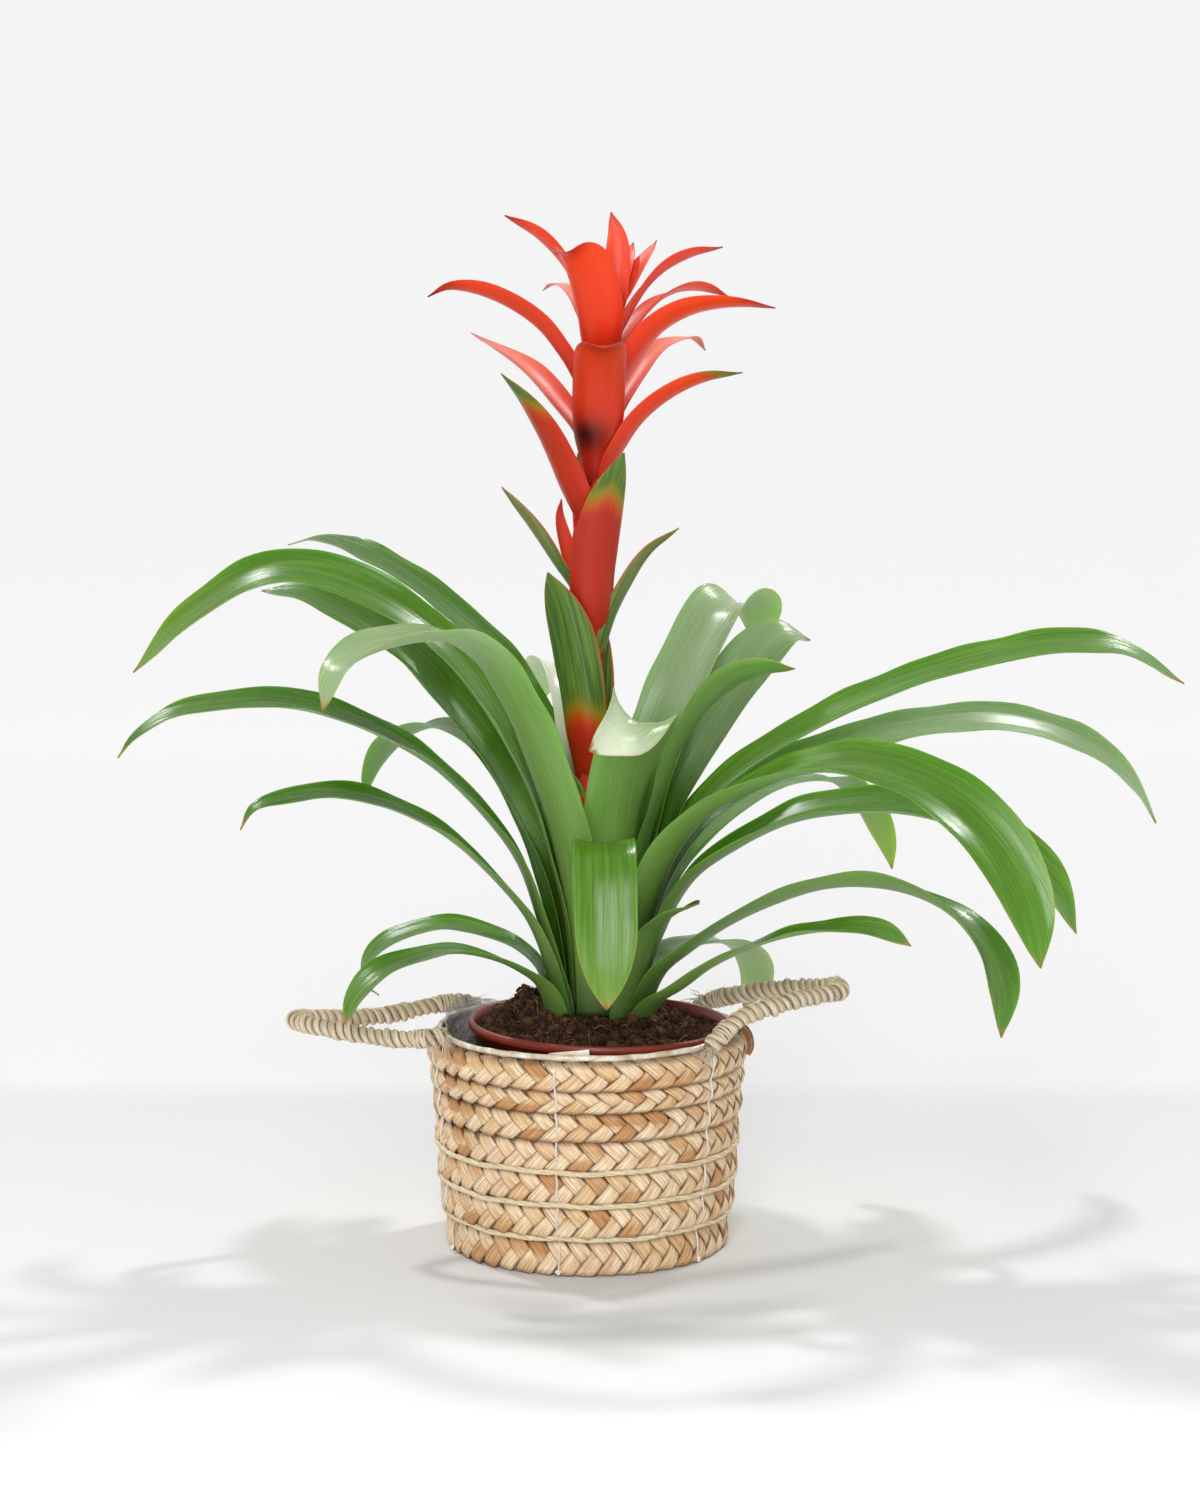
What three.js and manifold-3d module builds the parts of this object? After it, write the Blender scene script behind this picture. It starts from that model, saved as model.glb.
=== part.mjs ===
// A guzmania bromeliad in bloom, in its nursery pot, standing in a lined basket of plaited
// water hyacinth with two rope handles. Millimetres, +Z up. The origin is on the basket's axis
// at floor level. +X is the viewer's right and -Y is the front.
//
// Each leaf and bract is a channelled blade: a section carried along a spine. A spine is given
// by hand as [reach from the plant's axis, height, drift to the left of its heading].
import * as THREE from 'three';
import { mergeVertices } from 'three/addons/utils/BufferGeometryUtils.js';
import Module from 'manifold-3d';

const wasm = await Module();
wasm.setup();

// Driving dimensions
const GAP = 0.35;              // clearance between pieces that touch

const PITCHES = 40;            // plait pieces round one row
const ROW_TOPS = [19, 36, 52.5, 67.5, 81.5, 92.5, 106];
const FOOT_ROW_RADIUS = 70.2;  // the lowest row is tucked in
const SECOND_ROW_RADIUS = 73.4;
const ROW_FLARE = 1.2;         // every row above stands this much further out
const GROOVE = 2.6;            // depth of the valley between two rows
const SEAM_DEPTH = 0.9;        // depth of the seams between the pillows of one plait
const PLAIT_WALL = 7.6;        // thickness of one plait
const BASE_THICK = 5;

const FILM = 0.7;              // clear liner
const BAND_RADIUS = 72.6;      // rolled edge of the liner, on top of the plait
const BAND_THICK = 2.8;

const PLANT_X = 6;             // the pot stands a little right of the basket's axis
const POT_RIM_RADIUS = 64.6;
const POT_RIM_TOP = 111.8;
const POT_BASE_RADIUS = 47;
const POT_HEIGHT = 103.6;
const POT_WALL = 1.3;
const POT_FLOOR_THICK = 2.2;
const POT_LIP_DEPTH = 4;
const POT_LIP_OUT = 1.8;       // the lip stands this far out of the wall
const POT_LEAN = THREE.MathUtils.degToRad(1.28);
const DRAIN_RADIUS = 4;
const DRAIN_CIRCLE = 32;
const DRAIN_HOLES = 6;

const ROPE_RADIUS = 4.2;
const THREAD_RADIUS = 0.4;
const CORD_RADIUS = 1.2;

const STEM_RADIUS = 6.3;
const FIRST_RING = 9.9;        // radius of the innermost leaf base
const RING_STEP = 1.4;         // leaf bases sheathe each other like an onion
const CROWN_EDGE = [29.8, 109.5];
const CROWN_NECK = [8.6, 121];
const LEAF_THICK = 0.8;
const LEAF_FACET = 32;         // length of one facet along a leaf
const BRACT_FACET = 21;

const { degToRad, lerp, clamp, smoothstep } = THREE.MathUtils;

const finish = (color, roughness, extra = {}) =>
  new THREE.MeshStandardMaterial({ color, roughness, metalness: 0, ...extra });
const PLAIT = finish(0xc39a68, 0.75);
const PLAIT_DARK = finish(0x7a5230, 0.8);
const GREEN_CORD = finish(0xb9b585, 0.85);
const THREAD = finish(0xece8df, 0.7);
const ROPE = finish(0xb39b76, 0.9);
const CLEAR = finish(0xdfe4e2, 0.12, { transparent: true, opacity: 0.35 });
const BAND = finish(0xd9d0c4, 0.3);
const POT = finish(0x7c2a1a, 0.5);
const COIR = finish(0x2f1c12, 0.95);
const CROWN = finish(0x8da05a, 0.6);
const LEAF = finish(0x2f6a22, 0.35);
const BRACT = finish(0xd7341f, 0.4);

const group = new THREE.Group();
const place = (name, geometry, material) => {
  const mesh = new THREE.Mesh(geometry, material);
  mesh.name = name;
  group.add(mesh);
  return mesh;
};

// Geometry helpers

const toGeometry = (points, triangles) => {
  const geometry = new THREE.BufferGeometry();
  geometry.setAttribute('position', new THREE.Float32BufferAttribute(points.flat(), 3));
  geometry.setIndex(triangles.flat());
  return geometry;
};

const toSolid = (geometry) => {
  const bare = geometry.clone();
  bare.deleteAttribute('normal');
  bare.deleteAttribute('uv');
  const merged = mergeVertices(bare, 1e-4);
  return new wasm.Manifold(new wasm.Mesh({
    numProp: 3,
    vertProperties: new Float32Array(merged.attributes.position.array),
    triVerts: new Uint32Array(merged.index.array),
  }));
};

const fromSolid = (solid) => {
  const mesh = solid.getMesh();
  const geometry = new THREE.BufferGeometry();
  geometry.setAttribute('position', new THREE.BufferAttribute(mesh.vertProperties, 3));
  geometry.setIndex(new THREE.BufferAttribute(mesh.triVerts, 1));
  return geometry;
};

// A profile of [radius, height] pairs turned about the Z axis.
const turned = (profile, sides) => {
  const geometry = new THREE.LatheGeometry(profile.map(([r, z]) => new THREE.Vector2(r, z)), sides);
  return geometry.rotateX(Math.PI / 2);
};

// Rings of equal length, joined side to side. Closed end to end for a ring, else capped.
const skin = (rings, { loop = false } = {}) => {
  const n = rings[0].length;
  const triangles = [];
  const last = loop ? rings.length : rings.length - 1;
  for (let i = 0; i < last; i += 1) {
    const a = i * n;
    const b = ((i + 1) % rings.length) * n;
    for (let j = 0; j < n; j += 1) {
      const k = (j + 1) % n;
      triangles.push([a + j, a + k, b + k], [a + j, b + k, b + j]);
    }
  }
  if (!loop) {
    const end = (rings.length - 1) * n;
    for (let j = 1; j < n - 1; j += 1) {
      triangles.push([0, j + 1, j], [end, end + j, end + j + 1]);
    }
  }
  return toGeometry(rings.flat(), triangles);
};

// A round tube along a curve, its radius given by a function of the way along it.
const tube = (points, radius, sides, steps, { loop = false } = {}) => {
  const curve = new THREE.CatmullRomCurve3(points, loop, 'centripetal');
  const frames = curve.computeFrenetFrames(steps, loop);
  const rings = [];
  for (let i = 0; i < (loop ? steps : steps + 1); i += 1) {
    const centre = curve.getPointAt(i / steps);
    const r = radius(i / steps, i);
    rings.push(Array.from({ length: sides }, (_, j) => {
      const a = (2 * Math.PI * j) / sides;
      return centre.clone()
        .addScaledVector(frames.normals[i], r * Math.cos(a))
        .addScaledVector(frames.binormals[i], r * Math.sin(a))
        .toArray();
    }));
  }
  return skin(rings, { loop });
};

// Blades: leaves and bracts

// Width along a blade, from 0 at the base to 1 at the tip: a clasping foot that narrows into
// an even strap, then a long point.
const strapWidth = (t, { width, foot, point }) => {
  const strap = lerp(foot, width, smoothstep(t, 0, 0.3));
  const rest = clamp((t - point) / (1 - point), 0, 1);
  return Math.max(strap * (1 - rest ** 2.2) ** 0.9, 1.3);
};

// The roll eases through its angles between level and the tip.
const rollAt = (roll, t, level) => {
  const way = clamp((t - level) / (1 - level), 0, 1) * (roll.length - 1);
  const i = Math.min(Math.floor(way), roll.length - 2);
  return lerp(roll[i], roll[i + 1], smoothstep(way - i, 0, 1));
};

// A section is an arc, hollow on the side that faces the axis at the base and the sky further
// out. Its radius grows with the reach until the blade's own channel radius is met.
const blade = (spec) => {
  const {
    axis = [PLANT_X, 0], heading, spine, roll = [0, 0], channel = 24, hug = 0,
    facet, thick = LEAF_THICK, strips = 4, level = 0.05,
  } = spec;
  const a = degToRad(heading);
  const out = new THREE.Vector3(Math.cos(a), Math.sin(a), 0);
  const left = new THREE.Vector3(-Math.sin(a), Math.cos(a), 0);
  const curve = new THREE.CatmullRomCurve3(spine.map(([reach, height, drift = 0]) =>
    new THREE.Vector3(axis[0], axis[1], height).addScaledVector(out, reach)
      .addScaledVector(left, drift)), false, 'centripetal');
  const sections = clamp(Math.round(curve.getLength() / facet), 5, 13);
  const rings = [];
  for (let i = 0; i <= sections; i += 1) {
    const t = i / sections;
    const centre = curve.getPointAt(t);
    const along = curve.getTangentAt(t);
    const side = left.clone().addScaledVector(along, -left.dot(along)).normalize();
    const up = along.clone().cross(side);
    const turn = degToRad(rollAt(roll, t, level));
    const across = side.clone().multiplyScalar(Math.cos(turn)).addScaledVector(up, Math.sin(turn));
    const face = along.clone().cross(across);
    const reach = Math.hypot(centre.x - axis[0], centre.y - axis[1]) + hug;
    const radius = Math.min(Math.max(reach, 5), channel);
    const half = strapWidth(t, spec) / 2 / radius;
    const sink = 0.5 * radius * (1 - Math.cos(half)) * smoothstep(t, 0.12, 0.4);
    const ring = (offset) => Array.from({ length: strips + 1 }, (_, j) => {
      const phi = half * (1 - (2 * j) / strips);
      const r = radius - offset;
      return centre.clone().addScaledVector(across, r * Math.sin(phi))
        .addScaledVector(face, radius - r * Math.cos(phi) - sink).toArray();
    });
    rings.push([...ring(thick / 2), ...ring(-thick / 2).reverse()]);
  }
  return bladeSkin(rings, strips);
};

// Both faces of a blade are split along the same diagonals, so a twist can't make them cross.
const bladeSkin = (rings, strips) => {
  const n = rings[0].length;
  const triangles = [];
  for (let i = 0; i < rings.length - 1; i += 1) {
    const a = i * n;
    const b = a + n;
    for (let j = 0; j < n; j += 1) {
      const k = (j + 1) % n;
      if (j < strips) triangles.push([a + j, a + k, b + k], [a + j, b + k, b + j]);
      else triangles.push([a + j, a + k, b + j], [a + k, b + k, b + j]);
    }
  }
  const end = (rings.length - 1) * n;
  for (let j = 0; j < strips; j += 1) {
    const k = n - 1 - j;
    triangles.push([j, k, k - 1], [j, k - 1, j + 1]);
    triangles.push([end + j, end + k - 1, end + k], [end + j, end + j + 1, end + k - 1]);
  }
  return toGeometry(rings.flat(), triangles);
};

// Leaves. The ring counts the leaf bases outwards from the flower's stem. Leaves on one ring
// stand on opposite sides. A negative roll lowers a blade's left edge, and the blade is level
// across up to the share of its length that level gives.
const LEAVES = [
  { name: 'back_pale', ring: 0, heading: 105, width: 33, roll: [0, 0],
    spine: [[11.6, 180], [18, 222], [29, 255], [48, 277], [72, 284], [98, 276], [118, 258]] },
  { name: 'front_folded', ring: 0, heading: -65, width: 38, roll: [0, -30], level: 0.5, facet: 20,
    point: 0.86,
    spine: [[12.5, 175], [18, 212], [33, 244], [46, 262], [57, 270, -4], [64, 268, -17], [66, 256, -36]] },
  { name: 'left_high_thin', ring: 1, heading: 138, width: 21, roll: [0, -12],
    spine: [[18, 190], [28, 232], [43, 264], [64, 287], [88, 303],
      [120, 320], [160, 335], [197, 341], [221, 336]] },
  { name: 'right_dark', ring: 1, heading: -13, width: 25, roll: [0, -38], level: 0.5,
    spine: [[19.5, 188], [31, 229], [41, 254], [53, 272], [65, 283], [82, 289], [97, 289]] },
  { name: 'left_front_broad', ring: 2, heading: -140, width: 37, roll: [0, 0],
    spine: [[17, 170], [24, 209], [36, 243], [53, 275], [71, 298], [92, 309], [114, 311],
      [140, 307], [159, 297], [166, 279]] },
  { name: 'right_back_broad', ring: 2, heading: 48, width: 40, roll: [0, 0], facet: 26,
    spine: [[22, 186], [34, 224], [53, 260], [75, 292], [97, 314], [119, 312, 3], [136, 288, 13]] },
  { name: 'left_long_top', ring: 3, heading: 170, width: 32, roll: [0, -8, -30, -34],
    spine: [[17, 160], [23, 190], [32, 225], [48, 258], [79, 299], [120, 325], [150, 333], [176, 329],
      [215, 303], [237, 280]] },
  { name: 'right_back_upper', ring: 3, heading: 35, width: 33, roll: [0, 30],
    spine: [[24.5, 180], [41, 219], [61, 248], [83, 274], [99, 290], [115, 298], [131, 293]] },
  { name: 'left_back_long', ring: 4, heading: 153, width: 28, roll: [0, -24],
    spine: [[25, 182], [39, 211], [58, 240], [81, 266], [104, 288], [147, 311], [171, 318], [194, 317]] },
  { name: 'right_long_top', ring: 4, heading: 12, width: 28, roll: [0, 24],
    spine: [[24, 163], [31, 185], [46, 211], [66, 232], [103, 255], [155, 277], [212, 291],
      [241, 294], [270, 291], [303, 272]] },
  { name: 'front_centre', ring: 5, heading: -88, width: 30, roll: [0, 0], channel: 20,
    spine: [[20.5, 155], [26, 176], [38, 198], [58, 211], [78, 206], [92, 183], [97, 160], [98, 137]] },
  { name: 'back_centre', ring: 5, heading: 84, width: 28, roll: [0, 0],
    spine: [[24.5, 158], [31, 182], [48, 208], [75, 235], [115, 245], [150, 235], [175, 212]] },
  { name: 'left_back_hanging', ring: 6, heading: 140, width: 27, roll: [0, 0],
    spine: [[29, 168], [46, 208], [65, 233], [85, 246], [106, 251], [127, 246], [144, 235],
      [155, 221], [159, 209]] },
  { name: 'right_front_broad', ring: 6, heading: -35, width: 37, roll: [0, 34],
    spine: [[26, 160], [41, 197], [61, 221], [87, 237], [112, 247], [138, 252], [164, 250],
      [190, 242], [214, 227],
      [231, 207], [241, 186], [245, 165]] },
  { name: 'left_long_middle', ring: 7, heading: -172, width: 27, roll: [0, -22], point: 0.6,
    spine: [[31, 164], [40, 192], [55, 215], [78, 239], [103, 256], [127, 267], [156, 274],
      [185, 273], [209, 268],
      [226, 258], [234, 247]] },
  { name: 'right_long_middle', ring: 7, heading: 22, width: 28, roll: [0, 22, 42],
    spine: [[27, 156], [34, 179], [51, 205], [75, 223], [102, 234], [133, 243], [164, 249], [195, 252],
      [224, 251], [254, 244], [282, 231], [302, 214], [315, 192]] },
  { name: 'right_middle_broad', ring: 8, heading: -12, width: 34, roll: [0, 26],
    spine: [[32, 156], [47, 185], [70, 204], [94, 217], [119, 223], [144, 225], [169, 222],
      [192, 213], [211, 200], [226, 183], [234, 164]] },
  { name: 'back_left_middle', ring: 8, heading: 102, width: 26, roll: [0, 0],
    spine: [[29, 156], [50, 190], [80, 210], [115, 212], [145, 197], [160, 176]] },
  { name: 'left_long_lower', ring: 9, heading: -165, width: 24, roll: [0, -20], point: 0.6,
    spine: [[29, 146], [37, 165], [51, 184], [70, 203], [90, 217], [110, 226], [134, 231],
      [158, 229], [172, 224],
      [178, 214]] },
  { name: 'right_back_hanging', ring: 9, heading: 48, width: 26, roll: [0, 0],
    spine: [[31, 148], [52, 180], [87, 201], [127, 214], [164, 216], [194, 210], [216, 194],
      [230, 175], [237, 158]] },
  { name: 'front_right_short', ring: 10, heading: -50, width: 20, roll: [0, 10],
    spine: [[29, 142], [39, 162], [54, 173], [74, 180]] },
  { name: 'back_right_low', ring: 10, heading: 74, width: 26, roll: [0, 0],
    spine: [[35, 140], [53, 160], [78, 176], [104, 176], [126, 162]] },
  { name: 'left_low_curled', ring: 11, heading: 175, width: 21, roll: [0, -22], point: 0.65,
    facet: 22,
    spine: [[31, 138], [42, 149], [56, 155], [74, 159], [91, 156], [107, 149], [116, 139],
      [117, 128], [110, 122]] },
  { name: 'right_low_long', ring: 11, heading: -18, width: 29, roll: [0, -20, 42], level: 0.2,
    point: 0.76,
    spine: [[33, 136], [47, 149], [66, 164], [89, 177], [114, 186], [141, 188], [165, 183],
      [184, 172], [197, 157],
      [203, 138], [202, 116]] },
  { name: 'left_low_front', ring: 12, heading: -150, width: 21, roll: [0, -8], facet: 26,
    spine: [[33, 131], [45, 141], [62, 150], [83, 155], [105, 153], [123, 147], [135, 136], [140, 124]] },
  { name: 'back_right_lowest', ring: 12, heading: 55, width: 24, roll: [0, 0],
    spine: [[34, 128], [57, 136], [89, 138], [118, 133], [137, 123], [144, 111], [141, 101], [132, 96]] },
  { name: 'right_low_front', ring: 13, heading: -35, width: 22, roll: [0, 12],
    spine: [[35, 124], [47, 132], [65, 146], [87, 158], [110, 167], [135, 173], [157, 174], [177, 168]] },
  { name: 'back_lowest', ring: 13, heading: 100, width: 22, roll: [0, 0],
    spine: [[37, 124], [54, 137], [78, 148], [106, 147], [130, 134]] },
];

// The crown's sloping shoulder carries every leaf base.
const crownHeight = (radius) => {
  const way = (radius - CROWN_NECK[0]) / (CROWN_EDGE[0] - CROWN_NECK[0]);
  return lerp(CROWN_NECK[1], CROWN_EDGE[1], way);
};

for (const [i, leaf] of LEAVES.entries()) {
  const ring = FIRST_RING + RING_STEP * leaf.ring;
  const foot = Math.min(1.5 * ring, 1.2 * leaf.width);
  const bottom = crownHeight(ring - LEAF_THICK / 2) + GAP;
  const spine = [[ring, bottom], [ring + 0.3, bottom + 11 - 0.5 * leaf.ring], ...leaf.spine];
  const name = `leaf_${String(i + 1).padStart(2, '0')}_${leaf.name}`;
  place(name, blade({ point: 0.8, facet: LEAF_FACET, ...leaf, spine, foot }), LEAF);
}

// Flower spike: a stem with bracts set round it, fused where they grow from it.
const STEM = [[0, 108], [-2, 150], [-5, 195], [-5, 260], [-4, 310], [-1.5, 360], [0, 410], [2, 445], [3.5, 462]];
const stemOffset = (height) => {
  const i = clamp(STEM.findIndex(([, z]) => z > height), 1, STEM.length - 1);
  const [[x0, z0], [x1, z1]] = [STEM[i - 1], STEM[i]];
  return lerp(x0, x1, clamp((height - z0) / (z1 - z0), 0, 1));
};

const BRACTS = [
  { heading: 90, width: 13, point: 0.5,
    spine: [[1, 452, -3], [4, 468, -5], [6, 482, -6], [8, 495, -6], [9, 507.5, -3]] },
  { heading: 165, width: 19, roll: [10, 28],
    spine: [[3, 436], [8, 453], [12, 470], [19, 484], [32, 497], [49, 506]] },
  { heading: -105, width: 28, point: 0.75,
    spine: [[3, 425], [6, 444], [9, 458, 1], [15, 473, 0], [22, 484, -3], [29, 489, -8], [35, 488, -14]] },
  { heading: -86, width: 30, point: 0.72,
    spine: [[3, 376], [7, 395], [11, 412], [17, 428], [25, 440], [34, 445], [41, 443]] },
  { heading: 178, width: 20, roll: [20, 30],
    spine: [[3, 410], [10, 424], [17, 439], [27, 453], [42, 464], [60, 471], [73, 472], [83, 467]] },
  { heading: 110, width: 12, spine: [[3, 438], [9, 451], [19, 465], [31, 472], [42, 473], [50, 470]] },
  { heading: 25, width: 20, roll: [-15, -28],
    spine: [[3, 434], [10, 450], [18, 466], [30, 479], [46, 487], [65, 491]] },
  { heading: 62, width: 14, spine: [[2, 456], [8, 468], [18, 482], [29, 493]] },
  { heading: 42, width: 14, spine: [[2, 452], [10, 466], [22, 482], [34, 494]] },
  { heading: 40, width: 18, roll: [-10, -20],
    spine: [[3, 428], [14, 446], [26, 459], [38, 467], [52, 471], [66, 471], [82, 467]] },
  { heading: -18, width: 24, roll: [-12, -22],
    spine: [[3, 406], [10, 424], [17, 438], [28, 452], [44, 461], [60, 464], [75, 464], [88, 462]] },
  { heading: 50, width: 18,
    spine: [[3, 396], [16, 416], [29, 430], [43, 441], [60, 446], [75, 446], [83, 440]] },
  { heading: -8, width: 19, roll: [-15, -28],
    spine: [[3, 362], [6, 380], [11, 394], [20, 408], [34, 420], [54, 429], [71, 431]] },
  { heading: 150, width: 24, spine: [[3, 384], [12, 404], [24, 419], [37, 431], [54, 441], [72, 449]] },
  { heading: -145, width: 27, point: 0.4,
    spine: [[3, 342], [9, 362], [18, 384], [28, 402], [40, 418], [54, 431]] },
  { heading: -72, width: 27, point: 0.5,
    spine: [[3, 284], [7, 310], [9, 330, -1], [12, 350], [16, 368, 3], [21, 382, 6], [25, 393, 9]] },
  { heading: 172, width: 18, roll: [20, 35],
    spine: [[3, 308], [9, 326], [18, 341], [29, 357], [44, 375]] },
  { heading: 150, width: 15, spine: [[3, 316], [10, 332], [15, 346], [18, 360], [17, 369]] },
  { heading: 8, width: 18, roll: [-20, -38],
    spine: [[3, 270], [5, 290], [10, 311], [18, 328], [29, 344], [44, 355]] },
  { heading: -112, width: 29, point: 0.6,
    spine: [[3, 222], [7, 250], [9, 275, -1], [12, 298, -4], [16, 318, -8], [21, 335, -13]] },
  { heading: -110, width: 12, spine: [[4, 204], [9, 220, -2], [12, 238, -6]] },
  { heading: 75, width: 24, spine: [[3, 232], [8, 262], [13, 290], [20, 312]] },
  { heading: 95, width: 20, spine: [[3, 298], [8, 322], [14, 342], [22, 358], [30, 368]] },
  { heading: 92, width: 21, spine: [[3, 330], [9, 354], [18, 376], [30, 393], [42, 402]] },
  { heading: 84, width: 18, spine: [[3, 380], [10, 400], [20, 420], [33, 435], [48, 442]] },
];

const stemPoints = STEM.map(([x, z]) => new THREE.Vector3(PLANT_X + x, 0, z));
const stemRadius = (t) => lerp(STEM_RADIUS, 3.6, t);
const bractSolid = (bract) => {
  const base = bract.spine[0][1];
  const foot = Math.min(0.6 * bract.width, 11);
  return toSolid(blade({
    point: 0.4, ...bract, foot, channel: 15, hug: 4, thick: 0.9, facet: BRACT_FACET,
    strips: bract.width < 21 ? 2 : 4,
    axis: [PLANT_X + stemOffset(base), 0],
  }));
};
const spike = BRACTS.reduce((sum, bract) => sum.add(bractSolid(bract)),
  toSolid(tube(stemPoints, stemRadius, 8, 9)));
place('flower_spike', fromSolid(spike), BRACT);

// Crown: the short woody stock in the soil. Its shoulder carries the leaves, and the flower's
// stem stands in a plain hole in its top.
const HOLE = STEM_RADIUS + 0.5;
const HOLE_FLOOR = STEM[0][1] - GAP;
const STOCK = [[0, 78], [8, 79], [13, 92], [15, 99], CROWN_EDGE, CROWN_NECK, [HOLE, CROWN_NECK[1] + 0.5],
  [HOLE, HOLE_FLOOR], [0, HOLE_FLOOR]];
place('crown', turned(STOCK, 16).translate(PLANT_X, 0, 0), CROWN);

// Nursery pot, its drain holes and the coir in it, leaning a little to the right.
const leaned = (geometry) => geometry.translate(0, 0, -POT_RIM_TOP).rotateY(POT_LEAN)
  .translate(PLANT_X, 0, POT_RIM_TOP);
const POT_BASE = POT_RIM_TOP - POT_HEIGHT;
const POT_FLOOR = POT_BASE + POT_FLOOR_THICK;
const LIP_BOTTOM = POT_RIM_TOP - POT_LIP_DEPTH;
const potWallRadius = (z) => lerp(POT_BASE_RADIUS, POT_RIM_RADIUS - POT_LIP_OUT, (z - POT_BASE) / POT_HEIGHT);
const potProfile = [
  [0, POT_BASE], [POT_BASE_RADIUS - 2, POT_BASE], [POT_BASE_RADIUS, POT_BASE + 2],
  [potWallRadius(LIP_BOTTOM), LIP_BOTTOM], [POT_RIM_RADIUS, LIP_BOTTOM], [POT_RIM_RADIUS, POT_RIM_TOP],
  [POT_RIM_RADIUS - 2.4, POT_RIM_TOP],
  [potWallRadius(LIP_BOTTOM) - POT_WALL, LIP_BOTTOM],
  [potWallRadius(POT_FLOOR) - POT_WALL, POT_FLOOR], [0, POT_FLOOR],
];
const drainHoles = Array.from({ length: DRAIN_HOLES }, (_, i) => {
  const a = (2 * Math.PI * i) / DRAIN_HOLES;
  const plug = turned([[0, POT_BASE - 3], [DRAIN_RADIUS, POT_BASE - 3], [DRAIN_RADIUS, POT_BASE + 6], [0, POT_BASE + 6]], 6);
  return toSolid(plug.translate(DRAIN_CIRCLE * Math.cos(a), DRAIN_CIRCLE * Math.sin(a), 0));
});
const potSolid = drainHoles.reduce((pot, hole) => pot.subtract(hole), toSolid(turned(potProfile, 36)));
place('nursery_pot', leaned(fromSolid(potSolid)), POT);

// The coir is heaped towards the crown, with lumps and hollows.
const SOIL_RIM = POT_RIM_TOP - 4.5;
const SOIL_RINGS = [54, 46, 38, 31];
const SOIL_SPOKES = 24;
const coirHeight = (radius, angle) => {
  const heap = 4.5 * smoothstep(61 - radius, 0, 30)
    + 7 * Math.exp(-(((radius - 47) / 9) ** 2)) * Math.max(Math.cos(angle - 2.3), 0) ** 3;
  const lumps = 1.5 * Math.sin(3 * angle + 0.6) * Math.sin(radius / 5) + 1.1 * Math.sin(7 * angle + radius / 3)
    + 0.8 * Math.cos(11 * angle - radius / 2);
  return SOIL_RIM + heap + lumps * smoothstep(61 - radius, -4, 14);
};
const coirRing = (radius, height) => Array.from({ length: SOIL_SPOKES }, (_, j) => {
  const angle = (2 * Math.PI * j) / SOIL_SPOKES;
  return [radius * Math.cos(angle), radius * Math.sin(angle), height(radius, angle)];
});
const soilBottom = POT_FLOOR + GAP;
const soilWall = (z) => potWallRadius(z) - POT_WALL - 0.8;
const coir = skin([
  coirRing(soilWall(soilBottom + 2), () => soilBottom),
  coirRing(soilWall(SOIL_RIM), () => SOIL_RIM),
  ...SOIL_RINGS.map((r) => coirRing(r, coirHeight)),
  coirRing(12, () => SOIL_RIM + 5),
]);
const stockHole = turned([
  [0, STOCK[0][1] - GAP], [8.5, STOCK[0][1] - GAP], [13.6, 91.6], [16, 98.4],
  [CROWN_EDGE[0] + 0.5, CROWN_EDGE[1] - 1.2], [CROWN_EDGE[0] + 0.5, 140], [0, 140],
], 24).translate(PLANT_X, 0, 0);
place('soil', fromSolid(toSolid(leaned(coir)).subtract(toSolid(stockHole))), COIR);

// Basket: seven rows of three-strand plait, one on another. Across a row the surface swells out
// of the groove, and every pillow is a fan about its own crown. The seams of the lower half
// slant one way and those of the upper half the other, and meet in a zigzag.
const rowRadius = (row) => (row === 0 ? FOOT_ROW_RADIUS : SECOND_ROW_RADIUS + ROW_FLARE * (row - 1));
const rowBottom = (row) => (row === 0 ? 0 : ROW_TOPS[row - 1]);
const LAST_ROW = ROW_TOPS.length - 1;
const innerRadius = (z) => lerp(rowRadius(0), rowRadius(LAST_ROW), z / ROW_TOPS[LAST_ROW]) - PLAIT_WALL;
const pitchRing = (radius, height, turn = 0) => Array.from({ length: PITCHES }, (_, j) => {
  const angle = (2 * Math.PI * (j + turn)) / PITCHES;
  return [radius * Math.cos(angle), radius * Math.sin(angle), height];
});

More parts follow.
